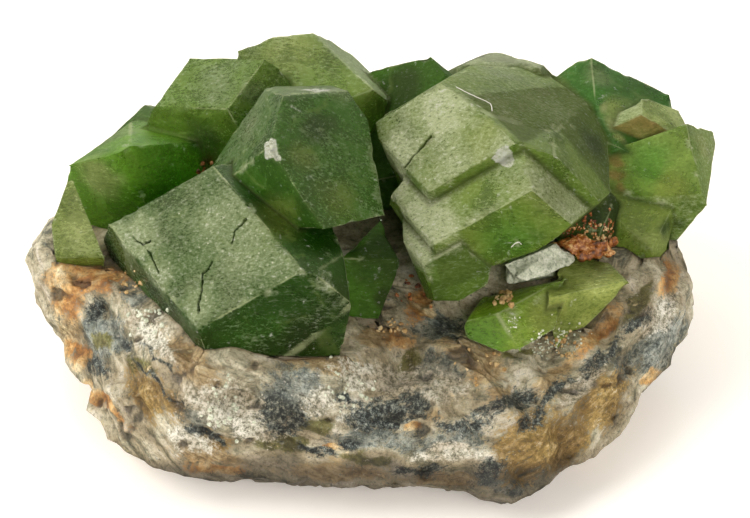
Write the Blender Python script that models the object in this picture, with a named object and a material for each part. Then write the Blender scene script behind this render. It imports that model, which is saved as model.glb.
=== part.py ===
"""Demantoid garnet specimen: green garnet crystals grown on a lump of banded rock.

Everything is written in millimetres and scaled to metres at the end. The rock
rests on its flat underside at z = 0, its long side runs along X and its front
faces -Y. Garnet grows as twelve-sided rhombic crystals, so every crystal here
is a block cut by the twelve rhombic planes of the garnet shape, each with its
own distance from the centre, plus a few bevels and contact planes.
"""
import bpy
import bmesh
import math
from mathutils import Euler, Matrix, Vector, noise

for old in list(bpy.data.objects):
    bpy.data.objects.remove(old)

MM = 0.001
GAP = 0.3            # clearance between the crystals and their sockets
CRYSTAL_FLOOR = 3.0  # no crystal reaches lower into the rock than this
STEP_1 = 0.6         # height of the upper growth step on the stepped crystal
FLOOR_STEP = 0.05    # each crystal ends a little higher than the one before
COLUMNS = 96         # rock mesh columns around
BASE_HALF_X = 12.5   # flat resting face, half length
BASE_HALF_Y = 9.0    # flat resting face, half depth
BASE_CENTRE = (-0.3, 0.8)
ROCK_CENTRE = (-0.5, 1.5)

# The stepped crystal is three plates that share one growth direction.
STEPPED_TURN = (-28, 39, -107)
STEPPED_CENTRE = (7.0, 4.5, 9.5)
BACK_SLOPE = ((0.34, 0.27, 0.9), 5.85)
RIGHT_SLOPE = ((0.77, 0.02, 0.64), 6.2)
TOP_EDGE = ((-0.19, 0.7, 0.69), 7.2)
RIGHT_WALL = ((0.99, -0.04, -0.13), 5.95)
TOP_RIGHT = ((0.9, 0.31, 0.32), 7.15)
LOW_RIGHT = ((0.65, -0.5, -0.57), 4.45)

# centre, turn about X, Y, Z in degrees, usual face distance, then the faces
# that sit nearer or farther than usual, named by their crystal direction,
# then the extra planes as (direction, distance).
CRYSTALS = {
    # large dark crystal at the front left
    "A": dict(centre=(-8.0, -1.0, 8.2), turn=(-28, 39, -107), size=5.5,
              faces={(0, -1, 1): 5.0, (1, -1, 0): 4.8, (-1, 0, 1): 5.9,
                     (1, 0, 1): 6.95, (-1, 1, 2): 8.15, (-1, -1, 0): 5.8,
                     (0, -1, -1): 7.6, (0, 1, 1): 9.65, (1, 1, 0): 7.2},
              cuts=[((0.24, -0.96, -0.17), 7.5), ((-0.42, 0.7, 0.58), 4.6),
                    ((-0.96, -0.02, -0.28), 6.85),
                    ((-0.07, -0.44, -0.9), 3.55),
                    ((0.97, 0.24, -0.11), 4.75)]),
    # tall dark crystal behind it
    "B": dict(centre=(-4.0, 2.0, 13.1), turn=(-107, 8, 165), size=5.2,
              faces={(-1, -1, 0): 3.9, (1, -1, 2): 4.7, (1, -1, 0): 3.8,
                     (0, -1, -1): 4.2, (-1, 0, -1): 4.05,
                     (-2, 1, -1): 3.2, (2, -1, -1): 4.2,
                     (-1, 0, 1): 6.85, (0, -1, 1): 6.2},
              cuts=[((-0.03, 0.75, 0.66), 4.65),
                    ((-0.67, -0.43, -0.6), 3.7),
                    ((0.1, -0.47, -0.88), 2.75)]),
    # left shoulder crystal
    "C": dict(centre=(-12.7, 6.8, 8.8), turn=(-122, -20, -144), size=5.0,
              faces={(1, -1, -2): 3.25, (0, -1, -1): 2.8, (0, -1, 1): 3.1,
                     (1, 0, 1): 3.8, (1, 1, -2): 2.75, (-1, 0, -1): 7.05,
                     (0, 1, -1): 6.15, (1, -1, 0): 6.45},
              cuts=[((-0.69, 0.56, 0.47), 3.35),
                    ((-0.54, 0.63, 0.56), 5.15)]),
    # upper left, etched face
    "D": dict(centre=(-9.0, 8.7, 11.0), turn=(-161, -10, 106), size=4.2,
              faces={(0, -1, -1): 3.65, (-1, 0, -1): 4.55,
                     (-1, -1, 0): 3.0, (1, 0, -1): 4.05,
                     (1, -1, 0): 3.25, (2, 1, -1): 2.25,
                     (0, 1, -1): 5.15},
              cuts=[]),
    # highest crystal at the back
    "E": dict(centre=(-3.5, 11.0, 11.5), turn=(52, -46, -164), size=4.5,
              faces={(1, 1, 0): 3.9, (0, 1, 1): 3.05, (1, -1, 2): 2.45,
                     (-1, 1, 2): 3.55},
              cuts=[((-0.14, 0.73, 0.67), 2.95),
                    ((0.29, 0.72, 0.63), 3.25)]),
    # small low crystal on the far left
    "F": dict(centre=(-16.4, 0.9, 8.7), turn=(84, 31, -51), size=3.2,
              faces={(0, 1, 1): 0.9, (1, 0, 1): 1.45, (-1, -1, 0): 1.0,
                     (-1, -1, 2): 1.55, (1, -1, 0): 1.4},
              cuts=[((0.89, 0.46, 0.05), 0.6)]),
    # small dark crystal in the middle
    "G": dict(centre=(-0.6, -1.6, 8.2), turn=(-12, -51, 153), size=3.0,
              faces={(1, 0, 1): 1.6, (0, 1, 1): 1.05, (-1, -2, 1): 1.8,
                     (-1, -1, 0): 0.95, (1, 0, -1): 0.95,
                     (-1, 0, -1): 1.55, (-1, 0, 1): 3.35,
                     (1, -1, 0): 3.5},
              cuts=[]),
    # stepped crystal, upper plate
    "H": dict(centre=STEPPED_CENTRE, turn=STEPPED_TURN, size=7.0,
              faces={(0, -1, 1): 8.15, (-1, 0, 1): 6.8, (1, 0, 1): 6.15,
                     (1, -1, 0): 6.05, (0, 1, 1): 8.5, (1, 1, 0): 9.0},
              cuts=[BACK_SLOPE, RIGHT_SLOPE, TOP_EDGE, RIGHT_WALL,
                    TOP_RIGHT, ((-0.91, 0.08, -0.4), 4.15),
                    LOW_RIGHT, ((-0.54, 0.46, 0.71), 7.2),
                    ((0.35, -0.49, -0.8), 3.3),
                    ((-0.01, -0.51, -0.86), 5.4)]),
    # stepped crystal, middle plate
    "H2": dict(centre=STEPPED_CENTRE, turn=STEPPED_TURN, size=7.0,
               faces={(0, -1, 1): 8.15 - STEP_1, (-1, 0, 1): 6.75,
                      (1, 0, 1): 8.15, (1, -1, 0): 7.25,
                      (-1, 1, 2): 6.7, (0, 1, 1): 8.4, (1, 1, 0): 8.9},
               cuts=[((-0.68, 0.69, 0.24), 1.85),
                     (BACK_SLOPE[0], BACK_SLOPE[1] - 0.05),
                     (RIGHT_SLOPE[0], RIGHT_SLOPE[1] - 0.05),
                     (TOP_EDGE[0], TOP_EDGE[1] - 0.1),
                     (RIGHT_WALL[0], RIGHT_WALL[1] - 0.1),
                     (TOP_RIGHT[0], TOP_RIGHT[1] - 0.1),
                     (LOW_RIGHT[0], LOW_RIGHT[1] - 0.05),
                     ((0.35, -0.51, -0.79), 3.4),
                     ((-0.82, 0.1, -0.57), 3.5)]),
    # stepped crystal, lowest plate and the blunt nose below it
    "H3": dict(centre=STEPPED_CENTRE, turn=STEPPED_TURN, size=6.8,
               faces={(0, -1, 1): 6.95, (-1, 0, 1): 4.8, (1, 0, 1): 8.25,
                      (1, -1, 0): 8.0, (-1, 1, 2): 1.9, (0, 1, 1): 6.0,
                      (1, 1, 0): 8.0},
               cuts=[((-0.01, -0.53, -0.85), 5.75),
                     ((0.54, -0.43, -0.72), 3.45),
                     ((-0.9, 0.2, -0.38), 3.15),
                     ((0.96, 0.25, -0.12), -2.75)]),
    # behind, between the highest crystal and the stepped one
    "I": dict(centre=(1.6, 8.5, 10.4), turn=(88, 77, 120), size=3.8,
              faces={(-1, 0, -1): 2.1, (-1, 0, 1): 4.7, (0, 1, 1): 2.1,
                     (-1, 2, 1): 3.55, (-1, 1, 0): 4.4},
              cuts=[((0.05, 0.74, 0.67), 4.8)]),
    # back right
    "J": dict(centre=(13.0, 10.0, 10.0), turn=(0, -13, -47), size=4.0,
              faces={(0, -1, 1): 2.85, (1, 0, 1): 2.85, (-1, 0, 1): 3.7,
                     (0, 1, 1): 3.45, (-1, 2, 1): 2.15, (1, 1, 0): 4.3},
              cuts=[]),
    "K": dict(centre=(15.8, 8.3, 9.4), turn=(130, 63, -98), size=3.6,
              faces={(-1, 1, 0): 3.4, (-1, 0, -1): 2.6,
                     (-1, -2, -1): 2.35, (-2, -1, 1): 2.1,
                     (-1, 0, 1): 2.0},
              cuts=[((-0.11, -0.21, -0.97), -0.4), ((0.9, 0.1, 0.3), 2.55),
                    ((0.0, -1.0, 0.15), 1.55)]),
    # right end
    "L": dict(centre=(16.2, 7.2, 7.4), turn=(86, 31, -46), size=4.2,
              faces={(0, 1, 1): 3.55, (1, 2, -1): 3.75, (1, 1, 2): 3.4,
                     (1, 1, -2): 4.0, (-1, 1, 0): 4.7, (0, 1, -1): 4.75,
                     (1, 1, 0): 5.1},
              cuts=[((-0.28, 0.75, 0.59), 2.3), ((0.61, 0.59, 0.53), 4.75),
                    ((0.91, -0.12, -0.39), 2.75),
                    ((0.88, -0.12, -0.46), 1.95),
                    ((0.77, -0.38, -0.51), 2.6)]),
    # flat grey top behind the stepped crystal
    "Q": dict(centre=(7.2, 12.8, 10.7), turn=(-57, -54, -176), size=3.6,
              faces={(1, -1, 0): 1.95, (1, 0, 1): 3.25,
                     (2, -1, -1): 2.2, (0, -1, -1): 2.05,
                     (0, -1, 1): 3.75},
              cuts=[((0.59, 0.61, 0.53), 2.1)]),
    # two crystals grown into each other at the front right
    "M": dict(centre=(8.0, -3.2, 6.9), turn=(150, -50, 54), size=3.2,
              faces={(0, 1, -1): 1.85, (1, 0, -1): 1.0, (1, 2, -1): 1.15,
                     (0, -1, -1): 2.4, (-1, -2, -1): 2.3,
                     (-2, -1, 1): 1.0, (-1, 0, 1): 1.0,
                     (2, -1, -1): 1.3, (-1, 0, -1): 3.75,
                     (-1, 1, 0): 3.25},
              cuts=[((0.94, -0.03, -0.33), 1.9)]),
    "R": dict(centre=(11.8, -1.0, 6.6), turn=(54, -3, -158), size=3.6,
              faces={(0, 1, 1): 1.25, (0, 1, -1): 1.85, (-1, 0, 1): 2.0,
                     (-2, 1, 1): 2.0, (0, -1, -1): 2.4, (1, 0, -1): 4.5},
              cuts=[((0.7, -0.29, -0.65), 1.15),
                    ((-0.95, 0.22, -0.21), 1.5)]),
    # small brown-green crystal wedged between the stepped one and the end
    "P": dict(centre=(12.0, 3.4, 8.4), turn=(-20, 12, 18), size=2.2,
              faces={(0, -1, 1): 1.6, (1, -1, 0): 1.6, (1, 0, 1): 1.9},
              cuts=[]),
    # low crystal in front of the right end
    "N": dict(centre=(15.0, 4.6, 6.9), turn=(-20, 0, 10), size=2.9,
              faces={(0, -1, 1): 2.0, (1, -1, 0): 2.3, (-1, -1, 0): 2.4,
                     (1, 0, 1): 3.0},
              cuts=[((0.95, 0.0, -0.3), 1.65)]),
    # plain crystals filling the back slope
    "S": dict(centre=(-12.2, 9.2, 7.6), turn=(15, 30, 20), size=3.3,
              faces={}, cuts=[]),
    "T": dict(centre=(-6.6, 12.0, 7.2), turn=(-20, 10, 50), size=2.9,
              faces={(1, 1, 0): 2.5}, cuts=[]),
    "U": dict(centre=(2.6, 12.2, 7.4), turn=(35, 5, 15), size=3.2,
              faces={(0, 1, 1): 2.7}, cuts=[]),
    "V": dict(centre=(11.6, 11.6, 6.8), turn=(10, -25, 65), size=2.9,
              faces={(1, 0, 1): 2.5}, cuts=[]),
}

# Lumps of other minerals in the gaps: centre, half sizes, turn, seed.
CRUSTS = {
    # white speckled lump between the stepped crystal and the front pair
    "calcite_patch": ((9.1, -0.5, 7.9), (2.0, 1.7, 1.0), (20, 10, 15), 4),
    # rusty brown grains between the front pair and the right end
    "limonite_crust": ((11.6, 1.0, 8.1), (1.9, 1.1, 0.9), (10, 0, 12), 9),
}


def crystal(name, grow=0.0):
    """A block cut down to one crystal; grow moves every face outwards."""
    spec = CRYSTALS[name]
    centre = Vector(spec["centre"])
    turn = Euler([math.radians(a) for a in spec["turn"]], "XYZ").to_matrix()
    bm = bmesh.new()
    bmesh.ops.create_cube(bm, size=34.0)
    bmesh.ops.translate(bm, verts=bm.verts, vec=centre)
    distances = {}
    for h in (-1, 0, 1):
        for k in (-1, 0, 1):
            for l in (-1, 0, 1):
                if abs(h) + abs(k) + abs(l) == 2:
                    distances[(h, k, l)] = spec["size"]
    distances.update(spec["faces"])
    cuts = [(turn @ Vector(key), d) for key, d in distances.items()]
    cuts += [(Vector(n), d) for n, d in spec["cuts"]]
    floor = CRYSTAL_FLOOR + FLOOR_STEP * list(CRYSTALS).index(name)
    cuts.append((Vector((0, 0, -1)), centre.z - floor))
    for normal, distance in cuts:
        normal.normalize()
        whole = bm.verts[:] + bm.edges[:] + bm.faces[:]
        cut = bmesh.ops.bisect_plane(
            bm, geom=whole, plane_co=centre + normal * (distance + grow),
            plane_no=normal, clear_outer=True)
        rim = [g for g in cut["geom_cut"] if isinstance(g, bmesh.types.BMEdge)]
        if rim:
            bmesh.ops.holes_fill(bm, edges=rim)
    bmesh.ops.remove_doubles(bm, verts=bm.verts, dist=0.04)
    bmesh.ops.dissolve_degenerate(bm, edges=bm.edges, dist=0.02)
    bmesh.ops.recalc_face_normals(bm, faces=bm.faces)
    return bm


def as_object(name, bm):
    """Turns a finished bmesh in millimetres into an object in metres."""
    bmesh.ops.scale(bm, vec=(MM, MM, MM), verts=bm.verts)
    mesh = bpy.data.meshes.new(name)
    bm.to_mesh(mesh)
    bm.free()
    ob = bpy.data.objects.new(name, mesh)
    bpy.context.scene.collection.objects.link(ob)
    return ob


def combine(target, other, operation):
    """Joins or subtracts another object and removes it afterwards.

    EXACT drops whole crystals where so many faces cross at low angles, so
    the closed pieces are combined with the MANIFOLD solver.
    """
    mod = target.modifiers.new("combine", "BOOLEAN")
    mod.operation = operation
    mod.solver = "MANIFOLD"
    mod.object = other
    graph = bpy.context.evaluated_depsgraph_get()
    mesh = bpy.data.meshes.new_from_object(target.evaluated_get(graph))
    target.modifiers.clear()
    bm = bmesh.new()
    bm.from_mesh(mesh)
    bmesh.ops.remove_doubles(bm, verts=bm.verts, dist=0.000002)
    bmesh.ops.triangulate(bm, faces=bm.faces)
    bm.to_mesh(mesh)
    bm.free()
    target.data = mesh
    bpy.data.objects.remove(other)


def clean(ob, keep_largest=False, merge=0.00002):
    """Merges stray points and, if asked, drops loose crumbs."""
    bm = bmesh.new()
    bm.from_mesh(ob.data)
    if merge:
        bmesh.ops.remove_doubles(bm, verts=bm.verts, dist=merge)
        bmesh.ops.dissolve_degenerate(bm, edges=bm.edges, dist=merge / 2)
        bmesh.ops.dissolve_limit(bm, angle_limit=math.radians(0.3),
                                 verts=bm.verts, edges=bm.edges)
    bmesh.ops.triangulate(bm, faces=bm.faces)
    if keep_largest:
        islands = []
        seen = set()
        for start in bm.verts:
            if start in seen:
                continue
            stack = [start]
            island = []
            seen.add(start)
            while stack:
                v = stack.pop()
                island.append(v)
                for e in v.link_edges:
                    o = e.other_vert(v)
                    if o not in seen:
                        seen.add(o)
                        stack.append(o)
            islands.append(island)
        islands.sort(key=len, reverse=True)
        for island in islands[1:]:
            bmesh.ops.delete(bm, geom=island, context="VERTS")
        print(ob.name, "islands", [len(i) for i in islands])
    bmesh.ops.recalc_face_normals(bm, faces=bm.faces)
    bm.to_mesh(ob.data)
    bm.free()


def cluster(name, members, grow=0.0):
    """Crystals that have grown together, joined in one solid."""
    whole = as_object(name, crystal(members[0], grow))
    for member in members[1:]:
        combine(whole, as_object(member, crystal(member, grow)), "UNION")
    return whole


def crust(name, grow=0.0):
    """A rough lump: pushed-out ball, flattened and turned into place."""
    centre, half, turn, seed = CRUSTS[name]
    bm = bmesh.new()
    bmesh.ops.create_icosphere(bm, subdivisions=3, radius=1.0)
    matrix = Euler([math.radians(a) for a in turn], "XYZ").to_matrix()
    for v in bm.verts:
        direction = v.co.normalized()
        bump = 1 + 0.35 * noise.noise(direction * 2.1 + Vector((seed, 0, 0)))
        bump += 0.12 * noise.noise(direction * 5.3 + Vector((0, seed, 0)))
        p = Vector([direction[i] * half[i] * bump for i in range(3)])
        p += p.normalized() * grow
        v.co = Vector(centre) + matrix @ p
    return bm


# Rock: widest outline, then the shoulder where the crystals begin.
RIM = [(-18.8, 1.0, 6.0), (-18.7, -0.2, 5.0), (-17.8, -2.0, 4.0),
       (-17.3, -4.2, 3.2), (-15.6, -6.9, 2.7), (-14.0, -8.8, 2.3),
       (-11.6, -10.7, 2.1), (-8.9, -12.0, 2.0), (-5.8, -11.8, 2.0),
       (-2.5, -12.1, 2.0), (0.5, -12.3, 2.0), (3.1, -12.6, 2.0),
       (6.9, -12.9, 1.8), (8.8, -12.2, 2.0), (10.3, -10.9, 2.2),
       (12.5, -8.4, 2.5), (14.7, -5.5, 3.0), (16.1, -3.8, 3.5),
       (17.0, -1.5, 4.0), (17.7, 1.5, 4.3), (17.9, 4.4, 4.5),
       (17.4, 8.0, 4.3), (14.0, 12.0, 4.5), (8.0, 14.2, 4.0),
       (0.0, 14.6, 4.0), (-7.0, 14.0, 4.0), (-13.5, 11.8, 4.5),
       (-17.4, 7.0, 5.5)]
SHOULDER = [(-18.2, 1.5, 7.6), (-17.6, -1.0, 7.5), (-15.0, -1.8, 7.5),
            (-13.4, -2.9, 7.5), (-11.8, -5.3, 8.1), (-10.4, -7.1, 8.1),
            (-9.0, -8.5, 8.0), (-7.0, -8.8, 7.6), (-4.8, -8.7, 7.2),
            (-2.5, -8.4, 6.9), (-1.0, -6.5, 6.6), (0.4, -4.5, 6.4),
            (2.0, -4.6, 6.6), (4.0, -5.8, 6.5), (5.0, -6.6, 6.4),
            (7.0, -7.0, 5.6), (9.5, -6.4, 5.0), (11.0, -5.2, 5.2),
            (12.6, -3.8, 6.1), (14.0, -2.0, 6.6), (15.6, 1.0, 6.6),
            (16.7, 3.2, 7.2), (16.0, 7.5, 7.0), (12.8, 11.2, 6.9),
            (8.0, 13.4, 6.8), (2.0, 13.7, 6.8), (-5.0, 13.4, 6.8),
            (-11.0, 11.8, 7.0), (-16.2, 7.5, 7.2)]


def ring_at(ring, angle):
    """Point of a closed outline seen from the rock centre at that angle."""
    tagged = []
    for x, y, z in ring:
        a = math.atan2(y - ROCK_CENTRE[1], x - ROCK_CENTRE[0])
        r = math.hypot(x - ROCK_CENTRE[0], y - ROCK_CENTRE[1])
        tagged.append((a, r, z))
    tagged.sort()
    turn = 2 * math.pi
    tagged = ([(a - turn, r, z) for a, r, z in tagged[-2:]] + tagged
              + [(a + turn, r, z) for a, r, z in tagged[:2]])
    for (a0, r0, z0), (a1, r1, z1) in zip(tagged, tagged[1:]):
        if a0 <= angle <= a1:
            t = (angle - a0) / max(a1 - a0, 1e-6)
            r = r0 + (r1 - r0) * t
            z = z0 + (z1 - z0) * t
            return Vector((ROCK_CENTRE[0] + r * math.cos(angle),
                           ROCK_CENTRE[1] + r * math.sin(angle), z))
    raise ValueError("angle outside the outline")


def fractal(p, size, octaves):
    """Layered noise, about -1 to 1, with lumps of roughly that size."""
    total = 0.0
    weight = 1.0
    for i in range(octaves):
        total += weight * noise.noise(p * (2 ** i / size))
        weight *= 0.5
    return total


def rock_push(p):
    """How far the rock surface stands out of its smooth shape."""
    lumps = 0.75 * fractal(p + Vector((3, 1, 7)), 6.0, 2)
    grain = 0.35 * fractal(p + Vector((9, 4, 2)), 2.2, 2)
    # layering dips to the lower right on the left and rises again at right
    layer = p.z * 0.9 + 0.45 * p.x - 0.028 * p.x * abs(p.x) - 0.12 * p.y
    layer += 0.9 * noise.noise(p * 0.22)
    saw = layer / 1.7 - math.floor(layer / 1.7)
    ledge = 0.42 * (saw if saw < 0.8 else (1 - saw) * 4) - 0.2
    pit = max(0.0, noise.noise(p * 0.55 + Vector((20, 3, 5))) - 0.28)
    return lumps + grain + ledge - 2.2 * pit


def rock_profile(angle):
    """Points from the resting face up over the rim to the top middle."""
    rim = ring_at(RIM, angle)
    shoulder = ring_at(SHOULDER, angle)
    base_r = 1.0 / math.hypot(math.cos(angle) / BASE_HALF_X,
                              math.sin(angle) / BASE_HALF_Y)
    base_r *= 1 + 0.06 * math.sin(2 * angle + 1) + 0.05 * math.sin(5 * angle)
    base = Vector((BASE_CENTRE[0] + base_r * math.cos(angle),
                   BASE_CENTRE[1] + base_r * math.sin(angle), 0.0))
    out = Vector((math.cos(angle), math.sin(angle), 0.0))
    points = [base]
    for i in range(1, 5):
        t = i / 5
        p = base.lerp(rim, t) - Vector((0, 0, 0.35 * math.sin(math.pi * t)))
        p += out * 0.5 * math.sin(math.pi * t)
        p.z = max(p.z, 0.12 * i)
        points.append(p)
    points.append(rim)
    for i in range(1, 9):
        t = i / 9
        p = rim.lerp(shoulder, t)
        bulge = math.sin(math.pi * t)
        points.append(p + out * 0.45 * bulge + Vector((0, 0, 0.45 * bulge)))
    points.append(shoulder)
    middle = Vector((ROCK_CENTRE[0], ROCK_CENTRE[1], 6.5))
    for t in (0.12, 0.26, 0.45, 0.7):
        points.append(shoulder.lerp(middle, t))
    return points


def rock():
    """Closed lump with ledges, pits and ridges and a flat underside."""
    profiles = []
    for c in range(COLUMNS):
        angle = -math.pi + 2 * math.pi * (c + 0.5) / COLUMNS
        profiles.append(rock_profile(angle))
    rows = len(profiles[0])
    bm = bmesh.new()
    grid = []
    for c in range(COLUMNS):
        before = profiles[c - 1]
        after = profiles[(c + 1) % COLUMNS]
        column = []
        for r in range(rows):
            p = profiles[c][r].copy()
            if r > 0:
                up = profiles[c][min(r + 1, rows - 1)] - profiles[c][r - 1]
                normal = (after[r] - before[r]).cross(up).normalized()
                fade = min(1.0, r / 3, max(0.0, (rows - r) / 5))
                p += normal * rock_push(p) * fade
                p.z = max(p.z, 0.1 + 0.1 * r)
            column.append(bm.verts.new(p))
        grid.append(column)
    for c in range(COLUMNS):
        a = grid[c]
        b = grid[(c + 1) % COLUMNS]
        for r in range(rows - 1):
            bm.faces.new((a[r], b[r], b[r + 1], a[r + 1]))
    bm.faces.new([column[-1] for column in grid])
    bm.faces.new([column[0] for column in reversed(grid)])
    bmesh.ops.recalc_face_normals(bm, faces=bm.faces)
    bmesh.ops.triangulate(bm, faces=bm.faces)
    return bm


def material(ob, name, colour, roughness):
    mat = bpy.data.materials.new(name)
    mat.use_nodes = True
    shader = mat.node_tree.nodes["Principled BSDF"]
    shader.inputs["Base Color"].default_value = (*colour, 1.0)
    shader.inputs["Roughness"].default_value = roughness
    ob.data.materials.clear()
    ob.data.materials.append(mat)


FRONT_PAIR = ["M", "R"]
LEFT_SMALL = ["F"]
MAIN = [k for k in CRYSTALS if k not in FRONT_PAIR + LEFT_SMALL]

garnets = cluster("garnet_cluster", MAIN)
front = cluster("garnet_front_pair", FRONT_PAIR)
left = cluster("garnet_left_small", LEFT_SMALL)
for name in ("N", "P"):
    combine(front, as_object("clearance", crystal(name, GAP)), "DIFFERENCE")
for ob in (garnets, front, left):
    clean(ob, keep_largest=True)

calcite = as_object("calcite_patch", crust("calcite_patch"))
limonite = as_object("limonite_crust", crust("limonite_crust"))
matrix = as_object("matrix_rock", rock())
for name in CRYSTALS:
    for ob in (calcite, limonite, matrix):
        combine(ob, as_object("socket", crystal(name, GAP)), "DIFFERENCE")
for name in CRUSTS:
    combine(matrix, as_object("socket", crust(name, GAP)), "DIFFERENCE")
combine(limonite, as_object("socket", crust("calcite_patch", GAP)),
        "DIFFERENCE")
for ob in (calcite, limonite, matrix):
    clean(ob, keep_largest=True, merge=0)

for ob in (garnets, front, left):
    material(ob, "demantoid garnet " + ob.name, (0.16, 0.30, 0.08), 0.25)
material(calcite, "speckled calcite", (0.66, 0.70, 0.62), 0.8)
material(limonite, "rusty limonite", (0.40, 0.20, 0.08), 0.8)
material(matrix, "banded serpentine rock", (0.42, 0.39, 0.31), 0.85)

# Centre the whole specimen over the origin, resting face at z = 0.
corners = [v.co for ob in bpy.data.objects for v in ob.data.vertices]
low = [min(c[i] for c in corners) for i in range(2)]
high = [max(c[i] for c in corners) for i in range(2)]
shift = Matrix.Translation((-(low[0] + high[0]) / 2, -(low[1] + high[1]) / 2, 0))
for ob in bpy.data.objects:
    ob.data.transform(shift)
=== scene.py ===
# %% [markdown]
# # Demantoid garnet on its rock
# This lesson dresses a small mineral specimen: green garnet crystals that grew
# over a lump of banded rock. The solids come in as a fixed frame, and each
# visible piece is made again here in fine mesh, in the same place.

import math
from itertools import product

import bmesh
import bpy
import numpy as np
from mathutils import Euler, Matrix, Vector
from mathutils.bvhtree import BVHTree


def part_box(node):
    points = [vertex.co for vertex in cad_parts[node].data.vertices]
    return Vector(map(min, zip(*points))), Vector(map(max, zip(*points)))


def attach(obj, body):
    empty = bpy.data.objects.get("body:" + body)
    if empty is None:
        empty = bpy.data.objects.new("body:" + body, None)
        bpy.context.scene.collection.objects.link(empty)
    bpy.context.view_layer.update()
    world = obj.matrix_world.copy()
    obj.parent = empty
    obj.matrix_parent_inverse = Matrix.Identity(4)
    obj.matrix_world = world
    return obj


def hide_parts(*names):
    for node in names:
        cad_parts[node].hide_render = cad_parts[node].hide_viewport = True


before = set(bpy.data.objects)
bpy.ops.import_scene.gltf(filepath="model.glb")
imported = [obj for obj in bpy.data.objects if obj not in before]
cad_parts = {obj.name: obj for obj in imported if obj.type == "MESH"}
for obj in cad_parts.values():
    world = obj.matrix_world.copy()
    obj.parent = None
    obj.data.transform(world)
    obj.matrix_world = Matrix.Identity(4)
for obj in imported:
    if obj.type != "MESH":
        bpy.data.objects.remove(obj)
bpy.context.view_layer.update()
print("nodes:", sorted(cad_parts))

# %% [markdown]
# ## Small tools
# Everything is thought out in millimetres and turned to metres when a mesh is
# finished, because a crystal 9 mm across is easier to picture than one of
# 0.009 m. Colours are written as the hex values a painter would pick and
# turned to the linear numbers that the renderer wants.

# %% Units and colours
MM = 0.001


def colour(hex_text):
    """A hex colour such as 4a6b2c as linear red, green, blue and full alpha."""
    parts = []
    for i in (0, 2, 4):
        c = int(hex_text[i:i + 2], 16) / 255
        parts.append(c / 12.92 if c <= 0.04045 else ((c + 0.055) / 1.055) ** 2.4)
    return (*parts, 1.0)


print("demantoid green in linear values:", [round(c, 3) for c in colour("4f7a2e")])

# %% [markdown]
# ## Noise for whole meshes
# A natural surface is never repeated, so lumps, pits and stains all come from
# noise. Blender's noise works on one point at a time. With two hundred thousand
# points that is slow, so this version works on all the points in one go.

# %% Noise on arrays of points
FAR = 99.0  # mm, farther than anything in the specimen


def hash01(cells, seed):
    """A fixed pseudo-random number from 0 to 1 for each whole-number cell."""
    # Large factors without a common measure, so that neighbours come out unlike.
    mixed = cells @ np.array([127.1, 311.7, 74.7]) + seed * 19.19
    return np.modf(np.abs(np.sin(mixed) * 43758.5453))[0]


def noise(points, size, seed=0.0, octaves=1):
    """Smooth noise, about -1 to 1, with lumps of that size in mm."""
    total = np.zeros(len(points))
    weight = 1.0
    for octave in range(octaves):
        q = points * (2 ** octave / size) + (seed * 7.3 + 0.37)
        cell = np.floor(q)
        f = q - cell
        f = f * f * (3 - 2 * f)
        value = 0.0
        for corner in product((0, 1), repeat=3):
            share = np.where(corner, f, 1 - f)
            share = share[:, 0] * share[:, 1] * share[:, 2]
            value = value + share * hash01(cell + corner, seed + octave)
        total += weight * (2 * value - 1)
        weight *= 0.5
    return total


def wander(points, size, seed, octaves=1):
    """Noise in all three directions, to bend what would be straight."""
    return np.stack([noise(points, size, seed + k, octaves) for k in range(3)], axis=1)


def pits(points, size, seed=0.0):
    """Distance to the nearest of scattered seeds, in cells of that size."""
    q = points / size + seed * 3.1
    cell = np.floor(q)
    best = np.full(len(points), FAR)
    for step in product((-1, 0, 1), repeat=3):
        c = cell + step
        place = c + np.stack([hash01(c, seed + k) for k in (1, 2, 3)], axis=1)
        best = np.minimum(best, np.linalg.norm(place - q, axis=1))
    return best


def step01(x, low, high):
    """0 below low, 1 above high, with a smooth rise between."""
    t = np.clip((x - low) / (high - low), 0, 1)
    return t * t * (3 - 2 * t)


probe = noise(np.random.default_rng(1).uniform(0, 30, (1000, 3)), 2.0)
print("noise runs from %.2f to %.2f" % (probe.min(), probe.max()))

# %% [markdown]
# ## Camera
# The specimen is seen from the front and well above, with a long lens, as a
# collector looks at a piece on a shelf. A long lens keeps the far crystals as
# large as the near ones.

# %% Camera
SCENE = bpy.context.scene
ELEVATION = math.radians(38)
DISTANCE = 160.0
PIXELS_PER_MM = 18
PICTURE_WIDTH = 750
TARGET = Vector((-0.13, -1.32, 8.0))
TO_CAMERA = Vector((0, -math.cos(ELEVATION), math.sin(ELEVATION)))

camera_data = bpy.data.cameras.new("shelf_view")
camera_data.sensor_width = 36
camera_data.lens = PIXELS_PER_MM * camera_data.sensor_width * DISTANCE / PICTURE_WIDTH
camera_data.clip_start = 0.01
camera = bpy.data.objects.new("shelf_view", camera_data)
camera.location = (TARGET + TO_CAMERA * DISTANCE) * MM
camera.rotation_euler = (math.pi / 2 - ELEVATION, 0, 0)
SCENE.collection.objects.link(camera)
SCENE.camera = camera
print("lens %.1f mm at %.0f mm" % (camera_data.lens, DISTANCE))

# %% [markdown]
# ## Light and floor
# Crystals show their flat faces by what they mirror. A wide soft window at the
# left gives the tilted tops their grey sheen, a bright ceiling glances off the
# back slopes, and a low, dim front leaves the steep faces deep green. The floor
# is plain and pale.

# %% Tools for nodes, lights and objects


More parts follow.
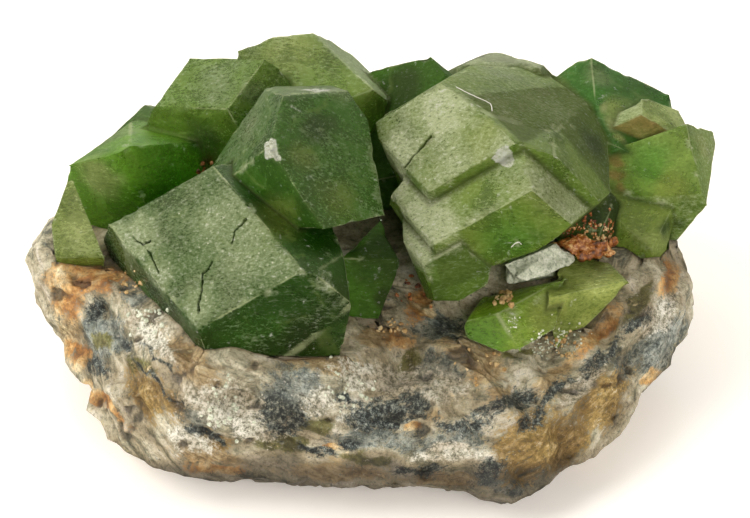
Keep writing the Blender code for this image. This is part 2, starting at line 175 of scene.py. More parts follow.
def add_node(tree, kind, settings=None, links=None):
    """Adds a shader node. Settings are its values, links what feeds its sockets."""
    node = tree.nodes.new("ShaderNode" + kind)
    for key, value in (settings or {}).items():
        if key == "stops":
            elements = node.color_ramp.elements
            while len(elements) < len(value):
                elements.new(0.5)
            for element, (position, text) in zip(elements, value):
                element.position = position
                element.color = colour(text)
        elif isinstance(key, str) and hasattr(node, key):
            setattr(node, key, value)
        else:
            node.inputs[key].default_value = value
    for key, source in (links or {}).items():
        # A whole node stands for its first output.
        socket = source.outputs[0] if hasattr(source, "outputs") else source
        tree.links.new(socket, node.inputs[key])
    return node


def new_material(name):
    """A new material and its empty node tree."""
    mat = bpy.data.materials.new(name)
    mat.use_nodes = True
    mat.node_tree.nodes.clear()
    return mat, mat.node_tree


def area_light(name, place, aim, size, power, tint="ffffff"):
    """A square soft light, in mm, that points at a spot."""
    data = bpy.data.lights.new(name, "AREA")
    data.size = size * MM
    data.energy = power
    data.color = colour(tint)[:3]
    lamp = bpy.data.objects.new(name, data)
    lamp.location = Vector(place) * MM
    lamp.rotation_euler = (Vector(aim) - Vector(place)).to_track_quat("-Z", "Y").to_euler()
    SCENE.collection.objects.link(lamp)


def mesh_object(name, bm):
    """Turns a bmesh into an object in the scene and frees the bmesh."""
    mesh = bpy.data.meshes.new(name)
    bm.to_mesh(mesh)
    bm.free()
    ob = bpy.data.objects.new(name, mesh)
    SCENE.collection.objects.link(ob)
    return ob


# %% Floor and lights
floor_mat, tree = new_material("white painted board")
paint = add_node(tree, "BsdfPrincipled",
                 {"Base Color": colour("faf7f4"), "Roughness": 0.8,
                  "Emission Color": colour("fff8f2"), "Emission Strength": 0.2})
add_node(tree, "OutputMaterial", links={"Surface": paint})
bm = bmesh.new()
bmesh.ops.create_grid(bm, x_segments=1, y_segments=1, size=1.5)
floor = mesh_object("floor", bm)
floor.data.materials.append(floor_mat)
# The board lights the stone but isn't mirrored in its steep faces.
floor.visible_glossy = False

# The room is bright behind and above and dim on the viewer's side.
world = bpy.data.worlds.new("soft room")
world.use_nodes = True
tree = world.node_tree
tree.nodes.clear()
heading = add_node(tree, "TexCoord").outputs["Generated"]
heading = add_node(tree, "SeparateXYZ", links={0: heading}).outputs["Y"]
room = add_node(tree, "MapRange",
                {"From Min": -0.95, "From Max": 0.1, "To Min": 0.14, "To Max": 0.5},
                {"Value": heading})
sky = add_node(tree, "Background", {"Color": colour("fffaf2")}, {"Strength": room})
add_node(tree, "OutputWorld", links={"Surface": sky})
SCENE.world = world
SCENE.view_settings.view_transform = "Standard"
area_light("left_window", (-200, -20, 160), (0, 0, 5), 200, 0.58, "fffaf2")
area_light("ceiling_behind", (20, 200, 170), (0, 0, 5), 220, 0.42, "fffcf6")
area_light("soft_front", (90, -230, 150), (0, -5, 4), 160, 0.46, "fff8ee")

# %% [markdown]
# ## The garnet shape
# Andradite garnet grows as a rhombic dodecahedron: twelve equal rhombic faces,
# each square to one of the directions such as (1, 1, 0). Real crystals grow
# unevenly, so each one here has its own centre and turn, and its faces sit
# nearer or farther than usual. The extra planes are bevels and the places
# where a neighbour stopped the growth. The same values make the solids.

# %% The crystals
PLATE_STEP = 0.6
# The crystals end flat in the rock, each at its own height in mm.
CRYSTAL_FLOOR = 3.0
FLOOR_STEP = 0.05
STEPPED_TURN = (-28, 39, -107)
STEPPED_CENTRE = (7.0, 4.5, 9.5)
BACK_SLOPE = ((0.34, 0.27, 0.9), 5.85)
RIGHT_SLOPE = ((0.77, 0.02, 0.64), 6.2)
TOP_EDGE = ((-0.19, 0.7, 0.69), 7.2)
RIGHT_WALL = ((0.99, -0.04, -0.13), 5.95)
TOP_RIGHT = ((0.9, 0.31, 0.32), 7.15)
LOW_RIGHT = ((0.65, -0.5, -0.57), 4.45)


def nearer(plane, step):
    """The same plane, that much nearer the crystal's centre."""
    return plane[0], plane[1] - step


# The centre in mm, the turn about X, Y and Z in degrees and the usual distance of
# a face. Then the faces that sit nearer or farther, named by their crystal
# direction, and the extra planes, each as its direction and distance.
CRYSTALS = {
    # large dark crystal at the front left
    "A": ((-8.0, -1.0, 8.2), (-28, 39, -107), 5.5, {(0, -1, 1): 5.0, (1, -1, 0): 4.8,
         (-1, 0, 1): 5.9, (1, 0, 1): 6.95, (-1, 1, 2): 8.15, (-1, -1, 0): 5.8, (0, -1, -1): 7.6,
         (0, 1, 1): 9.65, (1, 1, 0): 7.2}, [((0.24, -0.96, -0.17), 7.5),
         ((-0.42, 0.7, 0.58), 4.6), ((-0.96, -0.02, -0.28), 6.85), ((-0.07, -0.44, -0.9), 3.55),
         ((0.97, 0.24, -0.11), 4.75)]),
    # tall dark crystal behind it
    "B": ((-4.0, 2.0, 13.1), (-107, 8, 165), 5.2, {(-1, -1, 0): 3.9, (1, -1, 2): 4.7,
         (1, -1, 0): 3.8, (0, -1, -1): 4.2, (-1, 0, -1): 4.05, (-2, 1, -1): 3.2,
         (2, -1, -1): 4.2, (-1, 0, 1): 6.85, (0, -1, 1): 6.2}, [((-0.03, 0.75, 0.66), 4.65),
         ((-0.67, -0.43, -0.6), 3.7), ((0.1, -0.47, -0.88), 2.75)]),
    # left shoulder crystal
    "C": ((-12.7, 6.8, 8.8), (-122, -20, -144), 5.0, {(1, -1, -2): 3.25, (0, -1, -1): 2.8,
         (0, -1, 1): 3.1, (1, 0, 1): 3.8, (1, 1, -2): 2.75, (-1, 0, -1): 7.05, (0, 1, -1): 6.15,
         (1, -1, 0): 6.45}, [((-0.69, 0.56, 0.47), 3.35), ((-0.54, 0.63, 0.56), 5.15)]),
    # upper left, etched face
    "D": ((-9.0, 8.7, 11.0), (-161, -10, 106), 4.2, {(0, -1, -1): 3.65, (-1, 0, -1): 4.55,
         (-1, -1, 0): 3.0, (1, 0, -1): 4.05, (1, -1, 0): 3.25, (2, 1, -1): 2.25,
         (0, 1, -1): 5.15}, []),
    # highest crystal at the back
    "E": ((-3.5, 11.0, 11.5), (52, -46, -164), 4.5, {(1, 1, 0): 3.9, (0, 1, 1): 3.05,
         (1, -1, 2): 2.45, (-1, 1, 2): 3.55}, [((-0.14, 0.73, 0.67), 2.95),
         ((0.29, 0.72, 0.63), 3.25)]),
    # small low crystal on the far left
    "F": ((-16.4, 0.9, 8.7), (84, 31, -51), 3.2, {(0, 1, 1): 0.9, (1, 0, 1): 1.45,
         (-1, -1, 0): 1.0, (-1, -1, 2): 1.55, (1, -1, 0): 1.4}, [((0.89, 0.46, 0.05), 0.6)]),
    # small dark crystal in the middle
    "G": ((-0.6, -1.6, 8.2), (-12, -51, 153), 3.0, {(1, 0, 1): 1.6, (0, 1, 1): 1.05,
         (-1, -2, 1): 1.8, (-1, -1, 0): 0.95, (1, 0, -1): 0.95, (-1, 0, -1): 1.55,
         (-1, 0, 1): 3.35, (1, -1, 0): 3.5}, []),
    # stepped crystal, upper plate
    "H": (STEPPED_CENTRE, STEPPED_TURN, 7.0, {(0, -1, 1): 8.15, (-1, 0, 1): 6.8, (1, 0, 1): 6.15,
         (1, -1, 0): 6.05, (0, 1, 1): 8.5, (1, 1, 0): 9.0}, [BACK_SLOPE, RIGHT_SLOPE, TOP_EDGE,
         RIGHT_WALL, TOP_RIGHT, ((-0.91, 0.08, -0.4), 4.15), LOW_RIGHT,
         ((-0.54, 0.46, 0.71), 7.2), ((0.35, -0.49, -0.8), 3.3), ((-0.01, -0.51, -0.86), 5.4)]),
    # stepped crystal, middle plate
    "H2": (STEPPED_CENTRE, STEPPED_TURN, 7.0, {(0, -1, 1): 8.15 - PLATE_STEP, (-1, 0, 1): 6.75,
         (1, 0, 1): 8.15, (1, -1, 0): 7.25, (-1, 1, 2): 6.7, (0, 1, 1): 8.4, (1, 1, 0): 8.9},
         [((-0.68, 0.69, 0.24), 1.85), nearer(BACK_SLOPE, 0.05), nearer(RIGHT_SLOPE, 0.05),
         nearer(TOP_EDGE, 0.1), nearer(RIGHT_WALL, 0.1), nearer(TOP_RIGHT, 0.1),
         nearer(LOW_RIGHT, 0.05), ((0.35, -0.51, -0.79), 3.4), ((-0.82, 0.1, -0.57), 3.5)]),
    # stepped crystal, lowest plate and the blunt nose below it
    "H3": (STEPPED_CENTRE, STEPPED_TURN, 6.8, {(0, -1, 1): 6.95, (-1, 0, 1): 4.8,
         (1, 0, 1): 8.25, (1, -1, 0): 8.0, (-1, 1, 2): 1.9, (0, 1, 1): 6.0, (1, 1, 0): 8.0},
         [((-0.01, -0.53, -0.85), 5.75), ((0.54, -0.43, -0.72), 3.45),
         ((-0.9, 0.2, -0.38), 3.15), ((0.96, 0.25, -0.12), -2.75)]),
    # behind, between the highest crystal and the stepped one
    "I": ((1.6, 8.5, 10.4), (88, 77, 120), 3.8, {(-1, 0, -1): 2.1, (-1, 0, 1): 4.7,
         (0, 1, 1): 2.1, (-1, 2, 1): 3.55, (-1, 1, 0): 4.4}, [((0.05, 0.74, 0.67), 4.8)]),
    # back right
    "J": ((13.0, 10.0, 10.0), (0, -13, -47), 4.0, {(0, -1, 1): 2.85, (1, 0, 1): 2.85,
         (-1, 0, 1): 3.7, (0, 1, 1): 3.45, (-1, 2, 1): 2.15, (1, 1, 0): 4.3}, []),
    "K": ((15.8, 8.3, 9.4), (130, 63, -98), 3.6, {(-1, 1, 0): 3.4, (-1, 0, -1): 2.6,
         (-1, -2, -1): 2.35, (-2, -1, 1): 2.1, (-1, 0, 1): 2.0}, [((-0.11, -0.21, -0.97), -0.4),
         ((0.9, 0.1, 0.3), 2.55), ((0.0, -1.0, 0.15), 1.55)]),
    # right end
    "L": ((16.2, 7.2, 7.4), (86, 31, -46), 4.2, {(0, 1, 1): 3.55, (1, 2, -1): 3.75,
         (1, 1, 2): 3.4, (1, 1, -2): 4.0, (-1, 1, 0): 4.7, (0, 1, -1): 4.75, (1, 1, 0): 5.1},
         [((-0.28, 0.75, 0.59), 2.3), ((0.61, 0.59, 0.53), 4.75), ((0.91, -0.12, -0.39), 2.75),
         ((0.88, -0.12, -0.46), 1.95), ((0.77, -0.38, -0.51), 2.6)]),
    # flat grey top behind the stepped crystal
    "Q": ((7.2, 12.8, 10.7), (-57, -54, -176), 3.6, {(1, -1, 0): 1.95, (1, 0, 1): 3.25,
         (2, -1, -1): 2.2, (0, -1, -1): 2.05, (0, -1, 1): 3.75}, [((0.59, 0.61, 0.53), 2.1)]),
    # two crystals grown into each other at the front right
    "M": ((8.0, -3.2, 6.9), (150, -50, 54), 3.2, {(0, 1, -1): 1.85, (1, 0, -1): 1.0,
         (1, 2, -1): 1.15, (0, -1, -1): 2.4, (-1, -2, -1): 2.3, (-2, -1, 1): 1.0,
         (-1, 0, 1): 1.0, (2, -1, -1): 1.3, (-1, 0, -1): 3.75, (-1, 1, 0): 3.25},
         [((0.94, -0.03, -0.33), 1.9)]),
    "R": ((11.8, -1.0, 6.6), (54, -3, -158), 3.6, {(0, 1, 1): 1.25, (0, 1, -1): 1.85,
         (-1, 0, 1): 2.0, (-2, 1, 1): 2.0, (0, -1, -1): 2.4, (1, 0, -1): 4.5},
         [((0.7, -0.29, -0.65), 1.15), ((-0.95, 0.22, -0.21), 1.5)]),
    # small brown-green crystal wedged between the stepped one and the end
    "P": ((12.0, 3.4, 8.4), (-20, 12, 18), 2.2, {(0, -1, 1): 1.6, (1, -1, 0): 1.6,
         (1, 0, 1): 1.9}, []),
    # low crystal in front of the right end
    "N": ((15.0, 4.6, 6.9), (-20, 0, 10), 2.9, {(0, -1, 1): 2.0, (1, -1, 0): 2.3,
         (-1, -1, 0): 2.4, (1, 0, 1): 3.0}, [((0.95, 0.0, -0.3), 1.65)]),
    # plain crystals filling the back slope
    "S": ((-12.2, 9.2, 7.6), (15, 30, 20), 3.3, {}, []),
    "T": ((-6.6, 12.0, 7.2), (-20, 10, 50), 2.9, {(1, 1, 0): 2.5}, []),
    "U": ((2.6, 12.2, 7.4), (35, 5, 15), 3.2, {(0, 1, 1): 2.7}, []),
    "V": ((11.6, 11.6, 6.8), (10, -25, 65), 2.9, {(1, 0, 1): 2.5}, []),
}

print(len(CRYSTALS), "crystals")


# %% One crystal as a list of planes, then as a cut block


def planes_of(name):
    """The planes as (normal, distance, name), and the crystal's centre."""
    centre, turn, size, faces, cuts = CRYSTALS[name]
    turn = Euler([math.radians(a) for a in turn], "XYZ").to_matrix()
    distances = {key: size for key in product((-1, 0, 1), repeat=3) if sum(map(abs, key)) == 2}
    distances.update(faces)
    planes = [(turn @ Vector(key), d, key) for key, d in distances.items()]
    planes += [(Vector(n), d, count) for count, (n, d) in enumerate(cuts)]
    floor_z = CRYSTAL_FLOOR + FLOOR_STEP * ORDER.index(name)
    planes.append((Vector((0, 0, -1)), centre[2] - floor_z, "floor"))
    return [(n.normalized(), d, key) for n, d, key in planes], Vector(centre)


ORDER = list(CRYSTALS)
PLANES = {name: planes_of(name) for name in ORDER}


def cut_block(name):
    """A 34 mm block with everything outside the crystal's planes cut off."""
    planes, centre = PLANES[name]
    bm = bmesh.new()
    bmesh.ops.create_cube(bm, size=34.0)
    bmesh.ops.translate(bm, verts=bm.verts, vec=centre)
    for normal, distance, _ in planes:
        cut = bmesh.ops.bisect_plane(
            bm, geom=bm.verts[:] + bm.edges[:] + bm.faces[:],
            plane_co=centre + normal * distance, plane_no=normal,
            clear_outer=True)
        rim = [g for g in cut["geom_cut"] if isinstance(g, bmesh.types.BMEdge)]
        if rim:
            bmesh.ops.holes_fill(bm, edges=rim)
    bmesh.ops.remove_doubles(bm, verts=bm.verts, dist=0.04)
    bmesh.ops.dissolve_degenerate(bm, edges=bm.edges, dist=0.02)
    bmesh.ops.recalc_face_normals(bm, faces=bm.faces)
    return bm


sample = cut_block("A")
print("crystal A has", len(sample.faces), "faces")
sample.free()

# %% [markdown]
# ## Grown together
# Neighbouring crystals share one body, so they are joined with a Boolean. The
# cluster is kept as two bodies, the dark crystals at the left and the paler
# ones at the right, because each body has one clear stuff inside it.

# %% Join crystals into a body


def join_crystals(name, members):
    """The members as one closed mesh object, still in mm."""
    whole = None
    for member in members:
        piece = mesh_object(member, cut_block(member))
        if whole is None:
            whole = piece
            continue
        mod = whole.modifiers.new("join", "BOOLEAN")
        mod.operation = "UNION"
        mod.solver = "MANIFOLD"
        mod.object = piece
        graph = bpy.context.evaluated_depsgraph_get()
        joined = bpy.data.meshes.new_from_object(whole.evaluated_get(graph))
        whole.modifiers.clear()
        whole.data = joined
        bpy.data.objects.remove(piece)
    whole.name = name
    whole.data.name = name
    return whole


LEFT = ["A", "B", "C", "D", "E", "G", "I", "S", "T"]
RIGHT = ["H", "H2", "H3", "J", "K", "L", "Q", "P", "N", "U", "V"]
left_body = join_crystals("garnet_dark_group", LEFT)
right_body = join_crystals("garnet_stepped_group", RIGHT)
pair_body = join_crystals("garnet_yellow_pair", ["M", "R"])
small_body = join_crystals("garnet_far_left", ["F"])
for ob in (left_body, right_body, pair_body, small_body):
    print(ob.name, len(ob.data.polygons), "faces")

# The crystals were drawn round their own zero, so they move onto the frame.
BODIES = (left_body, right_body, pair_body, small_body)
drawn = [v.co for ob in (left_body, right_body) for v in ob.data.vertices]
drawn_low = Vector([min(p[i] for p in drawn) for i in range(3)])
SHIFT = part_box("garnet_cluster")[0] / MM - drawn_low
SHIFT.z = 0
for ob in BODIES:
    ob.data.transform(Matrix.Translation(SHIFT))
PLANES = {name: (planes, centre + SHIFT) for name, (planes, centre) in PLANES.items()}
print("shift onto the frame in mm:", [round(c, 3) for c in SHIFT])

# %% [markdown]
# ## Fine mesh
# A flat face needs only two triangles, but growth steps, pits and worn edges
# need many. Long edges are split again and again until each is as short as
# wanted there: short where the face is in plain view, longer at the back and
# deep in the rock, and shortest along the open cracks, which are narrow.

# %% Cracks, and how finely each place is split
SLIVER = 0.01
# Open cracks as points in mm, with the width, the depth and the crystal whose
# etched face they cut.
CRACKS = [
    ([(-8.85, -6.4, 11.75), (-9.35, -6.8, 11.2), (-9.3, -7.2, 10.85),
      (-9.45, -8.1, 10.2), (-9.5, -8.4, 9.95)], 0.09, 0.2, "A"),
    ([(-13.3, -3.3, 11.1), (-13.0, -3.6, 11.05), (-12.7, -3.9, 11.0),
      (-12.3, -3.9, 11.3)], 0.07, 0.14, "A"),
    ([(-12.4, -4.2, 11.0), (-12.1, -4.9, 10.7), (-11.8, -5.6, 10.4)], 0.08, 0.14, "A"),
    ([(-7.75, -5.9, 12.75), (-7.55, -5.5, 13.1), (-6.9, -5.2, 13.6)], 0.07, 0.14, "A"),
    ([(1.1, -1.3, 14.0), (1.9, -0.9, 14.7), (2.9, -0.3, 15.7)], 0.09, 0.14, "H"),
    ([(10.1, -3.2, 8.4), (10.1, -4.0, 7.7), (10.0, -4.9, 7.4), (9.1, -5.9, 6.9)],
     0.12, 0.16, None),
]

ETCHED_FACE = (0, -1, 1)
# Longest edges in mm.
IN_PLAIN_VIEW, AT_THE_BACK, DEEP_IN_ROCK, ALONG_CRACKS = 0.15, 0.34, 1.2, 0.055


def to_crack(points):
    """Distance from the nearest crack in its half widths, and its depth."""
    best = np.full(len(points), FAR)
    deep = np.zeros(len(points))
    for route, width, depth, crystal in CRACKS:
        route = [np.array(place) for place in route]
        if crystal:
            planes, centre = PLANES[crystal]
            n, d = next((np.array(n), d) for n, d, key in planes if key == ETCHED_FACE)
            route = [place - ((place - np.array(centre)) @ n - d) * n for place in route]
        for a, b in zip(route, route[1:]):
            along = np.clip((points - a) @ (b - a) / ((b - a) @ (b - a)), 0, 1)
            away = np.linalg.norm(points - a - along[:, None] * (b - a), axis=1) / (width / 2)
            deep = np.where(away < best, depth, deep)
            best = np.minimum(best, away)
    return best, deep


def edge_limit(points):
    """Longest edge wanted at each place, in mm."""
    wanted = np.full(len(points), IN_PLAIN_VIEW)
    wanted[points[:, 1] > 8.2] = AT_THE_BACK
    wanted[(points[:, 2] < 5.2) & (points[:, 1] > -8.3)] = DEEP_IN_ROCK
    wanted[to_crack(points)[0] < 3.5] = ALONG_CRACKS
    return wanted


def refine(ob, limit, rounds=10):
    """Splits the edges that are longer than the limit at their middle."""
    bm = bmesh.new()
    bm.from_mesh(ob.data)
    # Slivers left where the crystals were joined are closed up first.
    bmesh.ops.remove_doubles(bm, verts=bm.verts, dist=SLIVER)
    bmesh.ops.dissolve_degenerate(bm, edges=bm.edges, dist=SLIVER)
    bmesh.ops.triangulate(bm, faces=bm.faces)
    for _ in range(rounds):
        edges = bm.edges[:]
        ends = np.array([(*e.verts[0].co, *e.verts[1].co) for e in edges])
        lengths = np.linalg.norm(ends[:, 3:] - ends[:, :3], axis=1)
        wanted = limit((ends[:, 3:] + ends[:, :3]) / 2)
        long_edges = [edges[i] for i in np.flatnonzero(lengths > 1.4 * wanted)]
        if not long_edges:
            break
        bmesh.ops.subdivide_edges(bm, edges=long_edges, cuts=1)
        bmesh.ops.triangulate(bm, faces=[f for f in bm.faces if len(f.verts) > 3])
    bmesh.ops.dissolve_degenerate(bm, edges=bm.edges, dist=0.004)
    bmesh.ops.triangulate(bm, faces=[f for f in bm.faces if len(f.verts) > 3])
    bm.to_mesh(ob.data)
    bm.free()
    print(ob.name, len(ob.data.polygons), "triangles")


for ob in BODIES:
    refine(ob, edge_limit)

# %% [markdown]
# ## Growth steps, worn edges and chips
# Each point knows which crystal and which face it lies on, because its distance
# to every plane is known. That gives the distance to the nearest edge as well.
# Edges are rounded by a smooth maximum, faces get low steps that run round them
# like contour lines, and etch pits and chips are pressed in.

# %% Where each point lies


def read_points(ob, what="co"):
    """The places of a mesh's points, or their normals, one row for each."""
    flat = np.zeros(len(ob.data.vertices) * 3)
    ob.data.vertices.foreach_get(what, flat)
    return flat.reshape(-1, 3)


def write_points(ob, points):
    """Moves a mesh's points to places in mm and smooths its shading."""
    ob.data.vertices.foreach_set("co", (points * MM).ravel())
    ob.data.update()
    ob.data.shade_smooth()


def store(ob, label, values):
    """Keeps four values for each point, for the material to read."""
    layer = ob.data.attributes.new(label, "FLOAT_COLOR", "POINT")
    layer.data.foreach_set("color", values.ravel())


def outside(points, planes, centre):
    """How far each point lies outside each plane, and the planes' normals."""
    n = np.array([plane[0] for plane in planes])
    return (points - np.array(centre)) @ n.T - np.array([plane[1] for plane in planes]), n


def locate(points, members):
    """For each point its crystal, face, normal, next face and distances."""
    count = len(points)
    rows = np.arange(count)
    here = {"owner": np.zeros(count, int), "face": np.zeros(count, int),
            "normal": np.zeros((count, 3)), "across": np.zeros((count, 3)),
            "edge": np.full(count, FAR), "seam": np.full(count, FAR)}
    best = np.full(count, FAR)
    for index, name in enumerate(members):
        s, n = outside(points, *PLANES[name])
        order = np.argsort(-s, axis=1)[:, :2]
        near = np.abs(s[rows, order[:, 0]])
        closer = near < best - 1e-4
        here["seam"] = np.where(closer, best, np.minimum(here["seam"], near))
        best = np.where(closer, near, best)
        here["owner"][closer] = index
        here["face"][closer] = order[closer, 0]
        here["normal"][closer] = n[order[closer, 0]]
        here["across"][closer] = n[order[closer, 1]]
        here["edge"][closer] = -s[rows, order[:, 1]][closer]
    return here


here = locate(read_points(left_body), LEFT)
shares = np.bincount(here["owner"], minlength=len(LEFT))
print("points on each crystal:", dict(zip(LEFT, shares.tolist())))

# %% [markdown]
# The clear parts of a garnet are deep green, and the clouded parts are pale,
# because tiny cracks and fluid drops throw the light back. The clouds are a
# few named tints, each with the spots where it lies, and some spots are painted
# light: pale glows where light shines through a crystal, and dark spots that
# deepen faces turned down away from the light. Frost is the white bloom of an
# etched face, given face by face, and on the tilted tops and glancing faces it
# also stands for a painted sheen of the light they mirror.

# %% Tints, clouds, painted glows, frost, painted sheen and knocks
TINTS = {
    "A": "2c6014", "B": "467c1c", "C": "8cc83e", "D": "7ca038", "E": "96ae54", "F": "8ea246",
    "G": "62a428", "H": "86a23c", "H2": "9ab648", "H3": "82a838", "I": "4e8824", "J": "469024",
    "K": "e8f4a8", "L": "a6c45a", "Q": "808e5c", "M": "a4c83c", "R": "f2ff9a", "P": "4e6420",
    "N": "bcd068", "S": "558a28", "T": "7c9840", "U": "6c9034", "V": "6c9034",
}
# Clouds inside the stone, with painted glows and painted shade among them: tint,
# strength, then spots as x, y, z, radius in mm.
CLOUDS_AND_PAINTED_LIGHT = [
    ("2b4c14", 0.85, [(-4.0, -9.1, 8.6, 2.3), (-1.9, -8.9, 11.2, 1.7), (-3.2, -1.0, 16.6, 1.3),
                      (11.9, 3.0, 12.6, 1.8), (0.2, -3.0, 9.4, 2.4), (1.4, 7.5, 13.6, 1.8),
                      (11.9, 0.3, 9.5, 1.5), (16.6, 1.4, 7.8, 1.0), (-9.8, 4.4, 12.0, 1.4),
                      (0.4, -4.3, 7.6, 0.9), (-7.0, -9.6, 7.4, 1.8), (-0.9, -7.4, 9.2, 1.5)]),
    ("6cb032", 0.75, [(-11.6, 2.4, 10.4, 2.2), (-12.4, 3.4, 12.6, 1.7), (-10.4, 3.4, 13.2, 1.4),
                      (5.6, -6.6, 6.6, 1.7), (7.2, -4.9, 12.1, 2.0), (15.4, 4.0, 10.6, 1.7)]),
    ("3f7a1e", 0.85, [(-7.5, -9.2, 9.2, 2.0), (14.8, 8.8, 12.6, 2.0), (-12.6, -4.2, 7.4, 1.8),
                      (-0.3, -3.4, 8.9, 0.8), (-5.6, -9.2, 9.4, 1.2), (8.6, -3.9, 12.8, 1.3)]),
    ("7c8e3c", 0.7, [(-5.4, -5.2, 13.7, 1.9), (-4.0, -3.0, 16.4, 1.2), (-2.2, -4.4, 14.4, 1.5),
                     (-14.2, -2.4, 9.8, 1.6), (9.2, 6.4, 14.4, 1.2), (-2.6, 8.0, 15.0, 1.6),
                     (-6.0, -1.4, 15.4, 1.2)]),
    ("e6f6a8", 0.95, [(-15.5, 1.9, 11.0, 1.7)]),
    ("5c8a2e", 0.85, [(-14.6, 8.6, 9.4, 3.2), (-12.4, 9.2, 6.6, 3.4)]),
    ("c0c860", 0.7, [(9.2, -5.2, 7.4, 1.5), (13.9, -2.6, 7.4, 1.5), (16.4, 2.4, 10.0, 1.6)]),
    ("bcc87c", 0.95, [(-16.6, -1.0, 9.6, 1.5), (-4.9, 8.5, 15.3, 1.9),
                      (4.0, 0.4, 16.9, 1.8), (5.7, -1.7, 16.4, 1.6), (9.6, -4.2, 14.2, 1.5),
                      (8.3, -4.4, 15.3, 1.3), (14.2, 6.7, 12.5, 1.6), (12.4, -1.8, 7.9, 1.5),
                      (18.4, 5.5, 10.5, 1.2), (14.8, 0.6, 8.2, 1.3), (10.1, -5.8, 6.4, 1.1)]),
    ("9fae86", 0.6, [(-15.2, 5.6, 11.5, 2.0), (-6.9, 0.4, 15.9, 1.3), (1.3, -0.9, 14.3, 1.6),
                      (2.1, -3.0, 12.6, 1.8), (2.4, -4.6, 10.9, 1.3), (12.7, 9.0, 13.6, 1.1),
                      (7.0, 7.6, 14.7, 1.8), (-2.2, 2.2, 17.0, 1.3), (-6.9, 5.0, 14.8, 1.0)]),
    ("c99f63", 0.95, [(13.5, 4.6, 10.6, 0.6), (13.4, 3.9, 9.8, 0.6), (13.5, 3.4, 9.2, 0.4)]),
    ("dcd6a2", 0.95, [(12.9, 6.9, 12.0, 0.6), (13.3, 6.2, 11.6, 0.6), (13.6, 5.5, 11.1, 0.6),
                      (10.9, -0.6, 8.2, 0.6), (12.0, -0.9, 8.2, 0.55), (13.2, -1.1, 8.0, 0.5)]),
    ("5a3a1c", 0.95, [(-9.7, 4.2, 10.8, 0.7), (-9.6, 4.4, 9.9, 0.8), (2.9, -0.6, 15.3, 0.22)]),
]
# Broken faces that are stained all over.
STAINED = {("K", 2): "cda66e"}
# How far each face is etched white, by its crystal direction or cut number. On the
# tilted tops and glancing faces this white is also a painted sheen of the light they mirror.
FROST_AND_SHEEN = {
    "A": {(0, -1, 1): 0.54, (1, 0, 1): 0.12, (1, -1, 0): 0.15},
    "B": {(-1, -1, 0): 0.14, (1, -1, 0): 0.3, (0, -1, -1): 0.5},
    "C": {(1, -1, -2): 0.2}, "D": {(0, -1, -1): 0.26, (-1, 0, -1): 0.15},
    "E": {(1, 1, 0): 0.2, (0, 1, 1): 0.9}, "F": {(0, 1, 1): 0.3},
    "H": {(0, -1, 1): 0.52, 0: 0.3, 1: 0.14, (1, 0, 1): 0.05},
    "H2": {(0, -1, 1): 0.42, (-1, 1, 2): 0.5, (1, 0, 1): 0.04},
    "H3": {(0, -1, 1): 0.5, (1, 0, 1): 0.1},
    "K": {(-1, 1, 0): 0.55}, "Q": {(1, -1, 0): 0.7},
    "L": {(1, 2, -1): 0.35, (1, 1, 2): 0.3}, "M": {(1, 2, -1): 0.2},
}
# Crystals and faces that are etched dull, so that they mirror little.
DULL = {"A": {(-1, 1, 2): 0.5}, "J": {(0, -1, 1): 0.5}, "K": {2: 1.0}, "I": {"all": 0.7},
        "G": {"all": 0.5}, "P": {"all": 0.6}, "H": {0: 0.45, 1: 0.3},
        "C": {(1, -1, -2): 0.5}, "L": {(1, 2, -1): 0.5, (1, 1, 2): 0.5}, "H3": {(1, 0, 1): 0.4}}
# Spots with more frost and painted sheen, or less below zero: x, y, z, radius, amount.
FROST_AND_SHEEN_SPOTS = [
    (1.2, -0.2, 14.2, 1.7, 0.6), (0.7, -1.6, 13.2, 1.5, 0.6), (2.0, -3.4, 12.4, 2.1, 0.65),
    (3.6, -4.2, 12.2, 1.4, 0.5), (3.6, 0.8, 16.6, 1.5, 0.6), (2.0, -4.5, 10.6, 1.2, 0.6),
    (6.3, -1.9, 15.6, 0.8, 0.6), (5.6, -1.7, 16.4, 1.5, -0.25), (6.4, -0.4, 16.6, 1.3, -0.25),
    (5.2, -3.4, 14.0, 1.6, -0.3), (-9.6, -0.4, 14.6, 1.6, 0.15),
    (-12.8, -3.4, 10.9, 1.9, 0.5), (-9.4, -8.0, 10.2, 1.4, 0.4), (-9.4, 5.9, 14.8, 1.5, 0.2)]
# Spots where small knocks lie close together, which also get more painted glints: x, y, z,
# radius.
BRUISED = [(-13.2, -3.2, 10.9, 1.1), (-11.8, -5.9, 10.2, 1.2), (-9.5, -8.3, 9.9, 0.6),
           (-2.7, -8.8, 12.6, 0.9), (-5.7, -3.6, 17.2, 0.6), (3.4, 0.9, 16.9, 1.0),
           (1.9, -0.2, 15.4, 0.7), (10.1, -5.9, 6.2, 1.2), (7.4, -5.9, 7.4, 0.5),
           (8.6, -4.6, 7.9, 0.6), (7.5, -4.9, 11.8, 0.35), (-13.6, 2.9, 11.5, 0.5)]
# Shallow scoops where an edge or a face was knocked: x, y, z, radius, depth. Their
# white is a fresh break, and on the tall dark crystal, at (-7.3, -4.3, 12.9) and
# (-3.3, 2.0, 17.0), it also stands for a painted sheen.
CHIPS = [(-5.7, -3.5, 17.3, 0.75, 0.2), (-13.1, -0.6, 13.0, 0.5, 0.35),
         (6.6, -2.7, 16.0, 0.6, 0.07), (-7.3, -4.3, 12.9, 0.3, 0.12),
         (-3.3, 2.0, 17.0, 0.9, 0.12)]
# More planes than any crystal has.
MOST_PLANES = 40


def spot(wavy, x, y, z, radius):
    """1 at a spot's middle, 0 beyond its radius."""
    return 1 - step01(np.linalg.norm(wavy - (x, y, z), axis=1) / radius, 0.3, 1.1)


